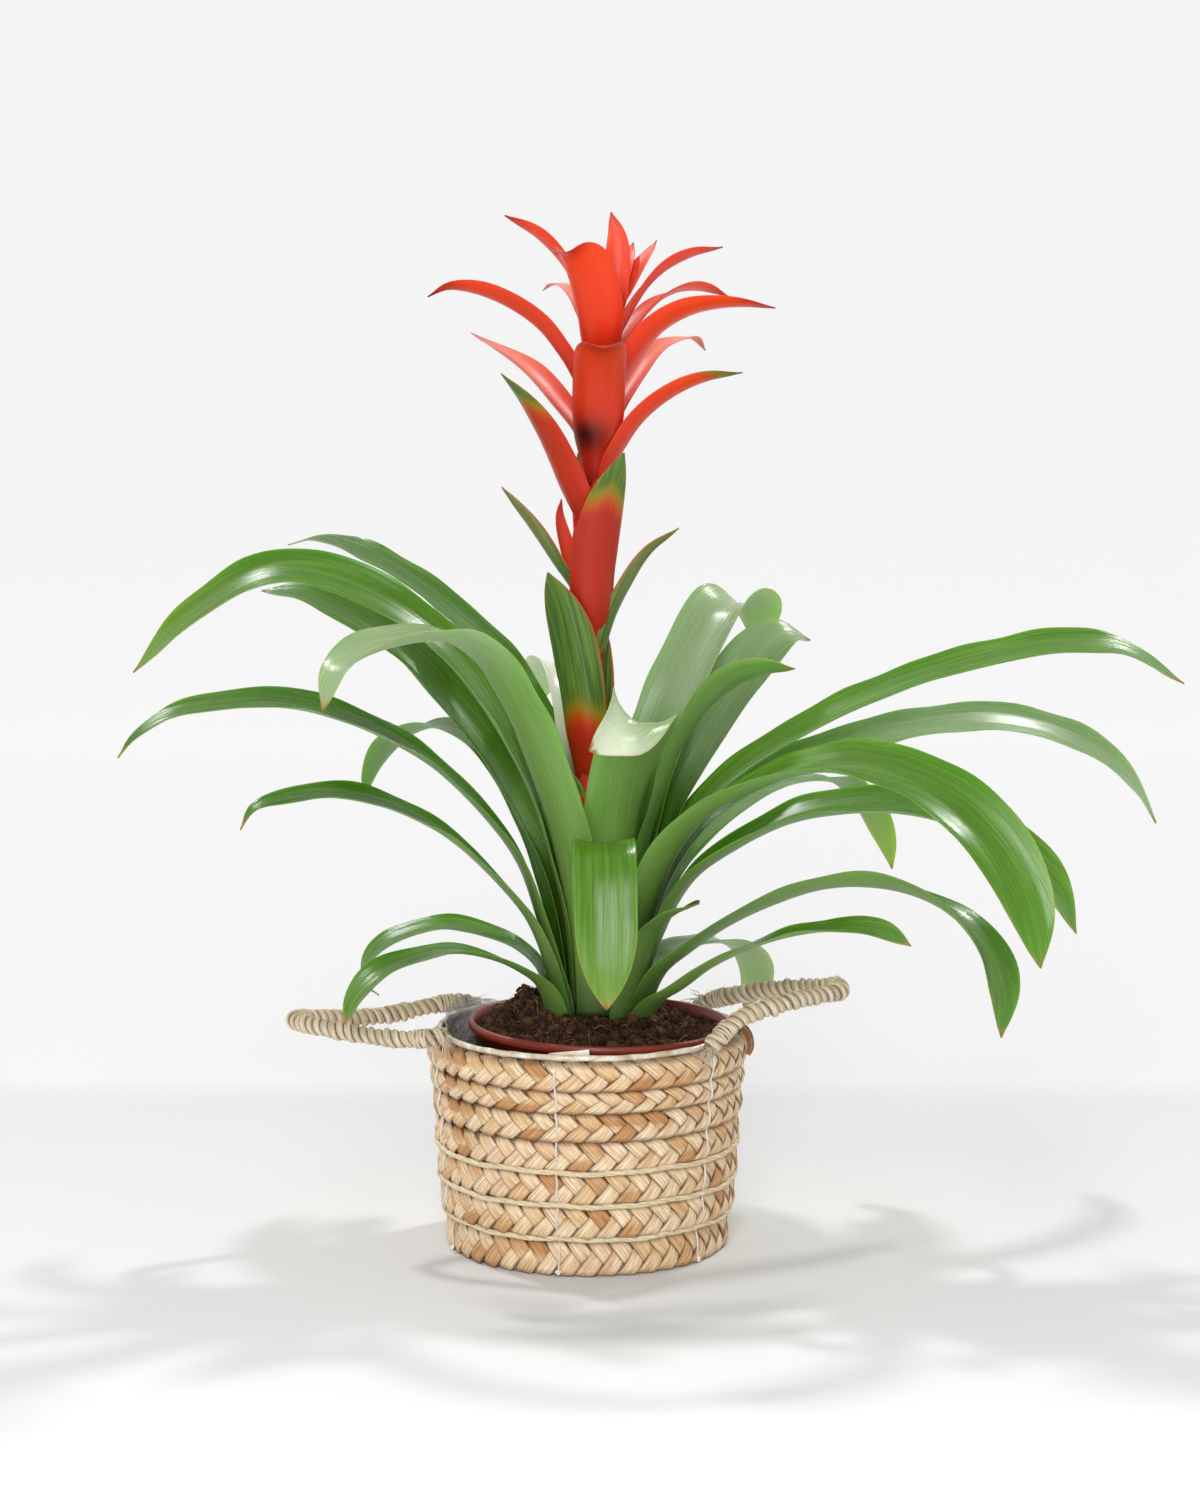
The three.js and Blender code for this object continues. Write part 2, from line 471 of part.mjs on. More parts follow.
const basket = () => {
  const points = [];
  const triangles = [];
  const add = (rows) => {
    const start = points.length;
    points.push(...rows);
    return start;
  };
  const valley = (row) => {
    if (row === 0) return pitchRing(rowRadius(0) - 5, 0);
    if (row > LAST_ROW) return pitchRing(rowRadius(LAST_ROW) - 2, ROW_TOPS[LAST_ROW]);
    return pitchRing((rowRadius(row - 1) + rowRadius(row)) / 2 - GROOVE, ROW_TOPS[row - 1]);
  };
  const valleys = Array.from({ length: LAST_ROW + 2 }, (_, row) => add(valley(row)));
  const at = (start, j) => start + (((j % PITCHES) + PITCHES) % PITCHES);
  for (let row = 0; row <= LAST_ROW; row += 1) {
    const r = rowRadius(row);
    const low = rowBottom(row);
    const tall = ROW_TOPS[row] - low;
    const seamLow = add(pitchRing(r - SEAM_DEPTH, low + 0.25 * tall, 0.3));
    const crownLow = add(pitchRing(r, low + 0.32 * tall, 0.9));
    const zigLow = add(pitchRing(r - SEAM_DEPTH, low + 0.44 * tall, 0.75));
    const zigHigh = add(pitchRing(r - SEAM_DEPTH, low + 0.56 * tall, 1.25));
    const crownHigh = add(pitchRing(r, low + 0.68 * tall, 0.9));
    const seamHigh = add(pitchRing(r - SEAM_DEPTH, low + 0.75 * tall, 0.8));
    const [under, over] = [valleys[row], valleys[row + 1]];
    for (let j = 0; j < PITCHES; j += 1) {
      const lower = [at(under, j), at(under, j + 1), at(seamLow, j + 1), at(zigLow, j + 1), at(zigHigh, j),
        at(zigLow, j), at(seamLow, j)];
      const upper = [at(over, j + 1), at(over, j), at(seamHigh, j - 1), at(zigHigh, j - 1), at(zigLow, j),
        at(zigHigh, j), at(seamHigh, j)];
      lower.forEach((v, k) => triangles.push([at(crownLow, j), v, lower[(k + 1) % lower.length]]));
      upper.forEach((v, k) => triangles.push([at(crownHigh, j - 1), v, upper[(k + 1) % upper.length]]));
    }
  }
  const inner = [
    add(pitchRing(innerRadius(ROW_TOPS[LAST_ROW]) + 1, ROW_TOPS[LAST_ROW])),
    add(pitchRing(innerRadius(ROW_TOPS[LAST_ROW] - 2), ROW_TOPS[LAST_ROW] - 2)),
    add(pitchRing(innerRadius(BASE_THICK), BASE_THICK)),
  ];
  const bands = [valleys[LAST_ROW + 1], ...inner];
  for (let b = 0; b < bands.length - 1; b += 1) {
    for (let j = 0; j < PITCHES; j += 1) {
      const [p, q, s, t] = [at(bands[b], j), at(bands[b], j + 1), at(bands[b + 1], j + 1), at(bands[b + 1], j)];
      triangles.push([p, q, s], [p, s, t]);
    }
  }
  const [floor, foot] = [add([[0, 0, BASE_THICK]]), add([[0, 0, 0]])];
  for (let j = 0; j < PITCHES; j += 1) {
    triangles.push([at(inner[2], j), at(inner[2], j + 1), floor], [at(valleys[0], j + 1), at(valleys[0], j), foot]);
  }
  return toGeometry(points, triangles);
};
place('basket', basket(), PLAIT);

// The end of the plait curls out of the top row, at the right.
const TAIL_RADIUS = 2.1;
const tailAngle = degToRad(-7);
const tailPoint = (out, along, z) => new THREE.Vector3(
  out * Math.cos(tailAngle) - along * Math.sin(tailAngle),
  out * Math.sin(tailAngle) + along * Math.cos(tailAngle), z);
place('plait_end', tube(
  [tailPoint(81.9, 8, 99), tailPoint(82.5, 2, 104), tailPoint(82.3, -4, 104.5), tailPoint(81.8, -6, 99),
    tailPoint(81.7, -3, 95.5)],
  () => TAIL_RADIUS, 6, 9), PLAIT_DARK);

// Liner: a thin clear cup inside the basket, drawn up behind the pot on the left, and its
// rolled edge seated on top of the plait.
const FILM_SIDES = 40;
const FILM_PEAK = 9;
const filmTop = (angle) => ROW_TOPS[LAST_ROW] - 1
  + FILM_PEAK * Math.exp(-(((angle - degToRad(140)) / degToRad(17)) ** 2));
const filmRing = (inset, height) => Array.from({ length: FILM_SIDES }, (_, j) => {
  const angle = (2 * Math.PI * j) / FILM_SIDES;
  const z = typeof height === 'number' ? height : height(angle);
  const radius = innerRadius(Math.min(z, ROW_TOPS[LAST_ROW])) - inset;
  return [radius * Math.cos(angle), radius * Math.sin(angle), z];
});
const FILM_INSET = 0.6;
const FILM_FLOOR = BASE_THICK + GAP;
const FILM_WAIST = 60;
place('liner', skin([
  filmRing(FILM_INSET, FILM_FLOOR), filmRing(FILM_INSET, FILM_WAIST), filmRing(FILM_INSET, filmTop),
  filmRing(FILM_INSET + FILM, filmTop), filmRing(FILM_INSET + FILM, FILM_WAIST),
  filmRing(FILM_INSET + FILM, FILM_FLOOR + FILM),
]), CLEAR);

const circle = (radius, height, count = 24) => Array.from({ length: count }, (_, j) => {
  const angle = (2 * Math.PI * j) / count;
  return new THREE.Vector3(radius * Math.cos(angle), radius * Math.sin(angle), height);
});
place('liner_rim', tube(circle(BAND_RADIUS, ROW_TOPS[LAST_ROW] + BAND_THICK / 2 + GAP),
  () => BAND_THICK / 2, 5, 42, { loop: true }), BAND);

// Handles: rope wound round a core, its ends stitched down on top of the rim.
const HANDLES = {
  handle_left: [[-69, -35, 110.4], [-75, -35.5, 110.2], [-84, -33, 109], [-98, -28, 108.6], [-113, -22, 109.4],
    [-129, -15, 110.6], [-140, -6, 111], [-145, 3, 110.8], [-141, 12, 110.2], [-132, 18, 108.8], [-120, 24, 107.4],
    [-108, 30, 107], [-97, 36, 107.5], [-86, 42, 108.6], [-76, 46, 110], [-66, 49, 110.4], [-61, 49, 110.4]],
  handle_right: [[58.5, -52.2, 109.6], [62, -50, 111.6], [68, -45, 117], [77, -38, 121.5], [91, -30, 124.5],
    [104, -22, 126.5], [117, -13, 127], [125, -3, 127], [124, 8, 127], [113, 18, 124.5], [100, 26, 122.5],
    [87, 34, 119.5], [77, 40, 116.5], [68, 46, 113.5], [62, 50, 111], [59, 52.2, 109.6]],
};
const ROPE_STEPS = 24;
const ROPE_WAIST = 0.35;       // the winding swells and narrows along the rope
for (const [name, route] of Object.entries(HANDLES)) {
  const points = route.map(([x, y, z]) => new THREE.Vector3(x, y, z));
  place(name, tube(points, (t, i) => ROPE_RADIUS - (i % 2 ? ROPE_WAIST : 0), 8, ROPE_STEPS), ROPE);
}

// Stitches: six white threads that tie the rows together on the outside.
const THREAD_HEADINGS = [-160, -101, -40, 20, 80, 140];
const threadPoint = (angle, radius, z) => new THREE.Vector3(radius * Math.cos(angle), radius * Math.sin(angle), z);
for (const [i, heading] of THREAD_HEADINGS.entries()) {
  const angle = degToRad(heading);
  const route = ROW_TOPS.map((top, row) =>
    threadPoint(angle, rowRadius(row) + THREAD_RADIUS + GAP, (rowBottom(row) + top) / 2));
  place(`stitch_thread_${i + 1}`, tube([
    threadPoint(angle, rowRadius(0) + 0.2, 3.5), ...route,
    threadPoint(angle, rowRadius(LAST_ROW) + 0.7, ROW_TOPS[LAST_ROW] - 3),
  ], () => THREAD_RADIUS, 4, 9), THREAD);
}

// Binding cord: it runs round in the three lower grooves.
for (const row of [1, 2, 3]) {
  const radius = (rowRadius(row - 1) + rowRadius(row)) / 2 - GROOVE + CORD_RADIUS + 2 * GAP;
  const cord = tube(circle(radius, ROW_TOPS[row - 1]), () => CORD_RADIUS, 3, PITCHES, { loop: true });
  place(`groove_cord_${row}`, cord, GREEN_CORD);
}

export default group;
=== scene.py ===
# %% [markdown]
# # A guzmania bromeliad in a plaited basket
#
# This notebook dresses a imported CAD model: a flowering guzmania in its plastic nursery pot,
# dropped into a lined basket of plaited water hyacinth with two rope handles. The CAD solids
# fix where everything is. Each visible piece is then worked out again as a finer surface, with a
# material made from nodes. Shapes are written in millimetres and turned into metres at the end.

import bpy
import numpy as np
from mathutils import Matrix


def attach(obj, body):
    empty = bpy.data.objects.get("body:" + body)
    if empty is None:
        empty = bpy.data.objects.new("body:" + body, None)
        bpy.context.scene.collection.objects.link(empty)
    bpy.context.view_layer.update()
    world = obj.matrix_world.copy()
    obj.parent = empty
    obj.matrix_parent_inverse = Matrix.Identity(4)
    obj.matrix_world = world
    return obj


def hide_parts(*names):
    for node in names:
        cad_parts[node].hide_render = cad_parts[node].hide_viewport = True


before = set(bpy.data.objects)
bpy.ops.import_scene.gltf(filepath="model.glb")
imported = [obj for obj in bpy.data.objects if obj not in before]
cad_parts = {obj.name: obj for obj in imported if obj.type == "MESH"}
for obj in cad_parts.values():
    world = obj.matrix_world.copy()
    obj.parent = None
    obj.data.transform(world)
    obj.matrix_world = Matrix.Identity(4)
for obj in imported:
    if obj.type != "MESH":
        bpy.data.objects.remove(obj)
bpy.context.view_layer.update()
MM = 0.001
print("CAD nodes:", len(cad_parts))

# %% [markdown]
# ## Camera
#
# The photograph was taken from well back with a long lens, which keeps the basket's rim a flat
# ellipse, and the camera looked slightly down. Both facts come from how open the rim looks.

# %% Viewpoint
CAMERA_PLACE = (0.0063, -1.75, 0.48)
CAMERA_DOWN = 7.6
LENS_MM = 86.4

camera = bpy.data.objects.new("camera", bpy.data.cameras.new("camera"))
camera.data.lens = LENS_MM
camera.data.sensor_width = 36.0
camera.data.clip_end = 60.0
camera.location = CAMERA_PLACE
camera.rotation_euler = (np.radians(90 - CAMERA_DOWN), 0, 0)
bpy.context.collection.objects.link(camera)
bpy.context.scene.camera = camera
print("camera at", CAMERA_PLACE)

# %% [markdown]
# ## Small tools for node materials
#
# A material is a recipe of nodes. Writing each node with its links by hand is long, so this class
# adds a node, fills its sockets and returns its output in one line. A socket that is given a
# number or a colour is set, and one that is given another node's output is linked. A value that
# is the same all over a surface is set on the shader itself, so that it survives an export.

# %% A recipe for a material
class Recipe:
    """One node material. out(kind, sockets) adds a node and returns its first shown output."""

    def __init__(self, name):
        self.material = bpy.data.materials.new(name)
        self.material.use_nodes = True
        self.tree = self.material.node_tree
        self.shader = self.tree.nodes["Principled BSDF"]

    def fill(self, node, sockets):
        """Sets or links each named socket of a node."""
        for key, value in sockets.items():
            if isinstance(value, bpy.types.NodeSocket):
                self.tree.links.new(value, node.inputs[key])
            else:
                node.inputs[key].default_value = value

    def out(self, kind, sockets, output=0, **settings):
        """Adds a node of a kind with its settings and sockets, and gives one of its outputs."""
        node = self.tree.nodes.new("ShaderNode" + kind)
        for key, value in settings.items():
            setattr(node, key, value)
        self.fill(node, sockets)
        return node.outputs[output]

    def field(self, name):
        """A point field of the mesh, such as the place along a blade."""
        return self.out("Attribute", {}, output=2, attribute_name=name)

    def uv(self, across=1.0, along=1.0, shift=0.0):
        """The piece's own UV map, in centimetres, stretched to suit a pattern."""
        flat = self.out("UVMap", {}, uv_map="UVMap")
        return self.out("Mapping", {"Vector": flat, "Location": (shift, shift, shift),
                                    "Scale": (across, along, 1)})

    def solid(self, scale=1.0):
        """Object coordinates, in metres, times a scale."""
        place = self.out("TexCoord", {}, output=3)
        return self.out("Mapping", {"Vector": place, "Scale": (scale, scale, scale)})

    def noise(self, vector, detail=3.0, rough=0.55, bend=0.0):
        """Soft random values round 0.5, one unit of the vector apart."""
        return self.out("TexNoise", {"Vector": vector, "Scale": 1.0, "Detail": detail, "Roughness": rough,
                                     "Distortion": bend})

    def math(self, operation, first, second=0.0):
        """One sum on two values."""
        return self.out("Math", {0: first, 1: second}, operation=operation)

    def plus(self, first, second, share):
        """first + share x second."""
        return self.math("ADD", first, self.math("MULTIPLY", second, share))

    def remap(self, value, low, high, new_low=0.0, new_high=1.0):
        """A straight line from low to high onto new_low to new_high, held at its ends."""
        return self.out("MapRange", {"Value": value, "From Min": low, "From Max": high, "To Min": new_low,
                                     "To Max": new_high})

    def mix(self, share, first, second, blend="MIX"):
        """The first colour at share 0 and the second, or their blend, at share 1."""
        return self.out("Mix", {0: share, 6: first, 7: second}, output=2, data_type="RGBA", blend_type=blend)

    def ramp(self, value, stops):
        """Colours along a value from 0 to 1, each stop a place and a hexadecimal colour."""
        node = self.tree.nodes.new("ShaderNodeValToRGB")
        self.tree.links.new(value, node.inputs[0])
        elements = node.color_ramp.elements
        while len(elements) < len(stops):
            elements.new(0.5)
        for element, (place, shade) in zip(elements, stops):
            element.position = place
            element.color = colour(shade)
        return node.outputs[0]

    def bump(self, height, depth_mm, strength):
        """Normals that tilt as if the surface rose by the height, up to a depth in millimetres."""
        return self.out("Bump", {"Height": height, "Distance": depth_mm * MM, "Strength": strength})

    def finish(self, **sockets):
        """Fills the shader's own sockets, an underscore standing for a space."""
        self.fill(self.shader, {key.replace("_", " "): value for key, value in sockets.items()})
        return self.material


def colour(shade):
    """A hexadecimal screen colour as the linear colour that nodes work with."""
    screen = np.array([int(shade[i:i + 2], 16) for i in (0, 2, 4)]) / 255
    linear = np.where(screen <= 0.04045, screen / 12.92, ((screen + 0.055) / 1.055) ** 2.4)
    return (*linear.tolist(), 1.0)


print("recipe tools ready")

# %% [markdown]
# ## The studio
#
# The real set is a white table in front of a bright wall. The table's far edge shows as a faint
# line. Here one large floor carries the same change of tone, so that the object can be looked at
# from any side. Two lamps high behind the plant, on the left and on the right, throw the soft
# shadows of the leaves towards the viewer. They are suns rather than area lamps, because a sun
# lights the whole floor evenly, and its angle sets how soft the shadows are. A tall, narrow lamp
# in front draws the streak of gloss along each hanging leaf. The room is bright along the horizon
# and darker above and in front, which keeps the leaves a deep green: a leaf mirrors what it faces.

# %% Floor
TABLE_EDGE = 0.33
EDGE_BLUR = 0.03
floor_tone = Recipe("pale_floor")
place = floor_tone.out("SeparateXYZ", {0: floor_tone.solid()}, output=1)
beyond = floor_tone.remap(place, TABLE_EDGE - EDGE_BLUR, TABLE_EDGE + EDGE_BLUR)
# Painted shade: the table part is darker towards its far edge, and the wall part darker near its foot than
# further off.
far_away = floor_tone.remap(place, TABLE_EDGE, TABLE_EDGE + 1.6)
wall = floor_tone.mix(far_away, colour("dcdcdc"), colour("e6e6e6"))
table = floor_tone.mix(floor_tone.remap(place, -0.4, TABLE_EDGE), colour("dcdcdc"), colour("d2d2d2"))
floor_tone.finish(Base_Color=floor_tone.mix(beyond, table, wall), Roughness=0.7, Specular_IOR_Level=0.1)

FLOOR_HALF = 40.0
floor_mesh = bpy.data.meshes.new("floor")
corners = [(-FLOOR_HALF, -FLOOR_HALF, 0), (FLOOR_HALF, -FLOOR_HALF, 0), (FLOOR_HALF, FLOOR_HALF, 0),
           (-FLOOR_HALF, FLOOR_HALF, 0)]
floor_mesh.from_pydata(corners, [], [(0, 1, 2, 3)])
floor_mesh.materials.append(floor_tone.material)
floor = bpy.data.objects.new("floor", floor_mesh)
bpy.context.collection.objects.link(floor)
print("floor is", 2 * FLOOR_HALF, "m wide")


# %% Lamps
def lamp(kind, name, place, power, **settings):
    """A lamp at a place, turned to look at the middle of the plant."""
    light = bpy.data.lights.new(name, kind)
    light.energy = power
    for key, value in settings.items():
        setattr(light, key, value)
    holder = bpy.data.objects.new(name, light)
    holder.location = place
    way = np.array([0, 0, 0.2]) - place
    tilt = np.arctan2(np.hypot(way[0], way[1]), -way[2])
    holder.rotation_euler = (tilt, 0, np.arctan2(way[1], way[0]) - np.pi / 2)
    bpy.context.collection.objects.link(holder)


SUN_POWER = 1.15
SHADOW_BLUR = np.radians(4.5)
lamp("SUN", "back_left", (-2.0, 1.7, 3.5), SUN_POWER, angle=SHADOW_BLUR)
lamp("SUN", "back_right", (2.1, 1.9, 3.3), SUN_POWER, angle=SHADOW_BLUR)
lamp("AREA", "front_tall", (-0.12, -2.0, 1.1), 30, shape="RECTANGLE", size=0.5, size_y=1.7)
print("lamps:", len(bpy.data.lights))

# %% Room
world = bpy.data.worlds.new("bright_room")
world.use_nodes = True
nodes, links = world.node_tree.nodes, world.node_tree.links
way, split = nodes.new("ShaderNodeTexCoord"), nodes.new("ShaderNodeSeparateXYZ")
upwards, backwards = nodes.new("ShaderNodeMapRange"), nodes.new("ShaderNodeMapRange")
links.new(way.outputs["Generated"], split.inputs[0])
links.new(split.outputs["Z"], upwards.inputs["Value"])
links.new(split.outputs["Y"], backwards.inputs["Value"])
room = {upwards: (0.1, 0.35, 0.0, 1.0), backwards: (-0.5, 0.5, 0.42, 0.72)}
for node, values in room.items():
    for key, value in zip(("From Min", "From Max", "To Min", "To Max"), values):
        node.inputs[key].default_value = value
HORIZON_LIGHT = 0.91
blend = nodes.new("ShaderNodeMix")
blend.inputs[2].default_value = HORIZON_LIGHT
links.new(upwards.outputs[0], blend.inputs[0])
links.new(backwards.outputs[0], blend.inputs[3])
links.new(blend.outputs[0], nodes["Background"].inputs["Strength"])
nodes["Background"].inputs["Color"].default_value = (1.0, 1.0, 1.0, 1.0)
bpy.context.scene.world = world
bpy.context.scene.view_settings.view_transform = "Standard"
print("room ready, as bright as", HORIZON_LIGHT, "along the horizon")

# %% [markdown]
# ## Small tools for surfaces
#
# Every new piece is a grid of points worked out with numpy. A leaf is a section carried along a
# spine, and so are a strand of straw, a rope and a thread. So the first tools are a smooth curve
# through given points, quads between the points of a grid, and a mesh with its UV map in
# centimetres, so that a pattern has the same true scale on every piece.

# %% Directions and curves
def unit(vectors):
    """Vectors of length one."""
    return vectors / np.maximum(np.linalg.norm(vectors, axis=-1, keepdims=True), 1e-12)


def ease(value, low, high):
    """0 below low, 1 above high, and 3x^2 - 2x^3 of the share between."""
    share = np.clip((np.asarray(value, float) - low) / (high - low), 0, 1)
    return share * share * (3 - 2 * share)


def curve_length(points):
    """Length of a line of points."""
    return float(np.linalg.norm(np.diff(points, axis=0), axis=1).sum())


def run_along(points):
    """Distance travelled at each point of a line."""
    return np.concatenate([[0], np.cumsum(np.linalg.norm(np.diff(points, axis=0), axis=1))])


def spline(points, steps):
    """A centripetal Catmull-Rom curve through the points, as steps + 1 points evenly spaced along it.
    Between two points p and q it is the cubic whose end slopes come from the neighbours, with each
    gap weighted by the square root of its length."""
    p = np.asarray(points, float)
    p = np.vstack([2 * p[:1] - p[1:2], p, 2 * p[-1:] - p[-2:-1]])
    a, b, c, d = p[:-3], p[1:-2], p[2:-1], p[3:]
    k0, k1, k2 = (np.sqrt(np.linalg.norm(v, axis=1, keepdims=True)) for v in (b - a, c - b, d - c))
    m1 = ((b - a) / k0 - (c - a) / (k0 + k1) + (c - b) / k1) * k1
    m2 = ((c - b) / k1 - (d - b) / (k1 + k2) + (d - c) / k2) * k1
    u = np.linspace(0, 1, 48, endpoint=False)[:, None, None]
    dense = b + m1 * u + (3 * (c - b) - 2 * m1 - m2) * u**2 + (2 * (b - c) + m1 + m2) * u**3
    dense = np.vstack([dense.transpose(1, 0, 2).reshape(-1, 3), c[-1:]])
    travelled = run_along(dense)
    stops = np.linspace(0, travelled[-1], steps + 1)
    return np.stack([np.interp(stops, travelled, dense[:, k]) for k in range(3)], -1)


print("curve tools ready")


# %% Faces and random heights
def grid_faces(rows, cols, first=0, round_rows=False, round_cols=False):
    """Quads between the points of a rows by cols grid. A round direction joins its end to its start."""
    i = np.arange(rows if round_rows else rows - 1)[:, None]
    j = np.arange(cols if round_cols else cols - 1)[None, :]
    nxt_i, nxt_j = (i + 1) % rows, (j + 1) % cols
    quads = np.stack([i * cols + j, i * cols + nxt_j, nxt_i * cols + nxt_j, nxt_i * cols + j], -1)
    return first + quads.reshape(-1, 4)


def tube_faces(rings, sides, closed=False):
    """Quads round a tube. Unless it closes on itself, each end gets one flat face."""
    faces = [grid_faces(rings, sides, round_rows=closed, round_cols=True)]
    if closed:
        return faces
    return faces + [np.arange(sides)[None, ::-1], (rings - 1) * sides + np.arange(sides)[None]]


def many_tubes(count, rings, sides):
    """Faces of many small tubes that follow one another, each with its two ends closed."""
    first = np.arange(count)[:, None, None] * rings * sides
    ends = np.stack([np.arange(sides)[::-1], (rings - 1) * sides + np.arange(sides)])
    one = grid_faces(rings, sides, round_cols=True)
    return [(first + one).reshape(-1, 4), (first + ends).reshape(-1, sides)]


def random_heights(seed):
    """A noise on the plane: random heights on a lattice, eased from knot to knot.
    It returns a function of x and y, from -1 to 1, that repeats every 64 units."""
    knots = np.random.default_rng(seed).uniform(-1, 1, (64, 64))

    def height(x, y):
        """The four knots round a point, mixed by its eased place between them."""
        x, y = np.broadcast_arrays(np.asarray(x, float), np.asarray(y, float))
        i, j = np.floor(x).astype(int), np.floor(y).astype(int)
        u, v = ease(x - i, 0, 1), ease(y - j, 0, 1)
        low = knots[i % 64, j % 64] * (1 - u) + knots[(i + 1) % 64, j % 64] * u
        high = knots[i % 64, (j + 1) % 64] * (1 - u) + knots[(i + 1) % 64, (j + 1) % 64] * u
        return low * (1 - v) + high * v

    return height


print("face tools ready")


# %% Meshes and pieces
def mesh_object(name, points, faces):
    """An object from points in millimetres and a list of face arrays."""
    mesh = bpy.data.meshes.new(name)
    places = np.reshape(points, (-1, 3)) * MM
    mesh.from_pydata(places.tolist(), [], [row for f in faces for row in f.tolist()])
    obj = bpy.data.objects.new(name, mesh)
    bpy.context.collection.objects.link(obj)
    return obj


def piece(name, points, faces, material, slot, node, uv=None, **fields):
    """One piece of the object, with its UV map in centimetres and its point fields. It rides on the
    root body and stands for a CAD node."""
    obj = mesh_object(name, points, faces)
    mesh = obj.data
    if uv is not None:
        corner_points = np.concatenate([f.ravel() for f in faces])
        layer = mesh.uv_layers.new(name="UVMap")
        layer.data.foreach_set("uv", np.asarray(uv, np.float32).reshape(-1, 2)[corner_points].ravel())
    for key, values in fields.items():
        attribute = mesh.attributes.new(key, "FLOAT", "POINT")
        attribute.data.foreach_set("value", np.asarray(values, np.float32).ravel())
    mesh.shade_smooth()
    mesh.materials.append(material)
    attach(obj, "root")
    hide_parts(node)
    return obj


def joined_piece(name, parts, material, slot, node):
    """One piece from several (points, faces, uv, fields), with the faces numbered on."""
    points, faces, uvs, fields, first = [], [], [], {}, 0
    for part_points, part_faces, part_uv, part_fields in parts:
        part_points = np.asarray(part_points, float).reshape(-1, 3)
        points.append(part_points)
        faces += [np.asarray(f) + first for f in part_faces]
        uvs.append(np.asarray(part_uv, float).reshape(-1, 2))
        for key, values in part_fields.items():
            fields.setdefault(key, []).append(np.broadcast_to(values, len(part_points)).ravel())
        first += len(part_points)
    fields = {key: np.concatenate(values) for key, values in fields.items()}
    return piece(name, np.vstack(points), faces, material, slot, node, np.vstack(uvs), **fields)


def sweep(path, outward, wide, deep, sides, closed=False, square=1.0):
    """A strand: an oval section carried along a path. The section's deep half axis lies along
    outward and its wide half axis across it, so a point is path + deep cos(a) n + wide sin(a) m.
    A square under 1 fills out the oval's corners."""
    ahead = np.roll(path, -1, 0) - np.roll(path, 1, 0) if closed else np.gradient(path, axis=0)
    along = unit(ahead)
    n = unit(outward - along * (outward * along).sum(-1, keepdims=True))
    m = np.cross(along, n)
    angle = 2 * np.pi * np.arange(sides) / sides
    c, s = (np.sign(f) * np.abs(f) ** square for f in (np.cos(angle), np.sin(angle)))
    deep, wide = (np.broadcast_to(v, len(path))[:, None, None] for v in (deep, wide))
    rings = path[:, None] + deep * c[None, :, None] * n[:, None] + wide * s[None, :, None] * m[:, None]
    run = run_along(path)
    across = (angle / (2 * np.pi))[None] * (wide[:, :, 0] * 4)
    uv = np.stack(np.broadcast_arrays(across, run[:, None]), -1) / 10
    return rings, tube_faces(len(path), sides, closed), uv


print("surface tools ready")

# %% [markdown]
# ## How a blade is shaped
#
# A bromeliad leaf is a strap that clasps the stock at its base, rises as a channel, arches over
# under its weight and ends in a point. Drawing it as a flat card would lose the channel, which is
# what catches the light. So the blade is an arc of a circle carried along a spine, and the circle
# opens as the blade leaves the axis. The two faces are separate sheets joined round the margin,
# thickest along the middle. Margins waver a little, and shallow folds run lengthwise.

# %% The roll of a blade
def roll_along(angles, way):
    """Eases through a list of angles, in degrees, as way goes from 0 to 1."""
    step = np.clip(way, 0, 1) * (len(angles) - 1)
    i = np.minimum(np.floor(step).astype(int), len(angles) - 2)
    angles = np.asarray(angles, float)
    return angles[i] + (angles[i + 1] - angles[i]) * ease(step - i, 0, 1)


print("half way from 0 to 30 degrees:", roll_along([0, 30], np.array([0.5])))


# %% The blade surface
PLANT_X = 6.0


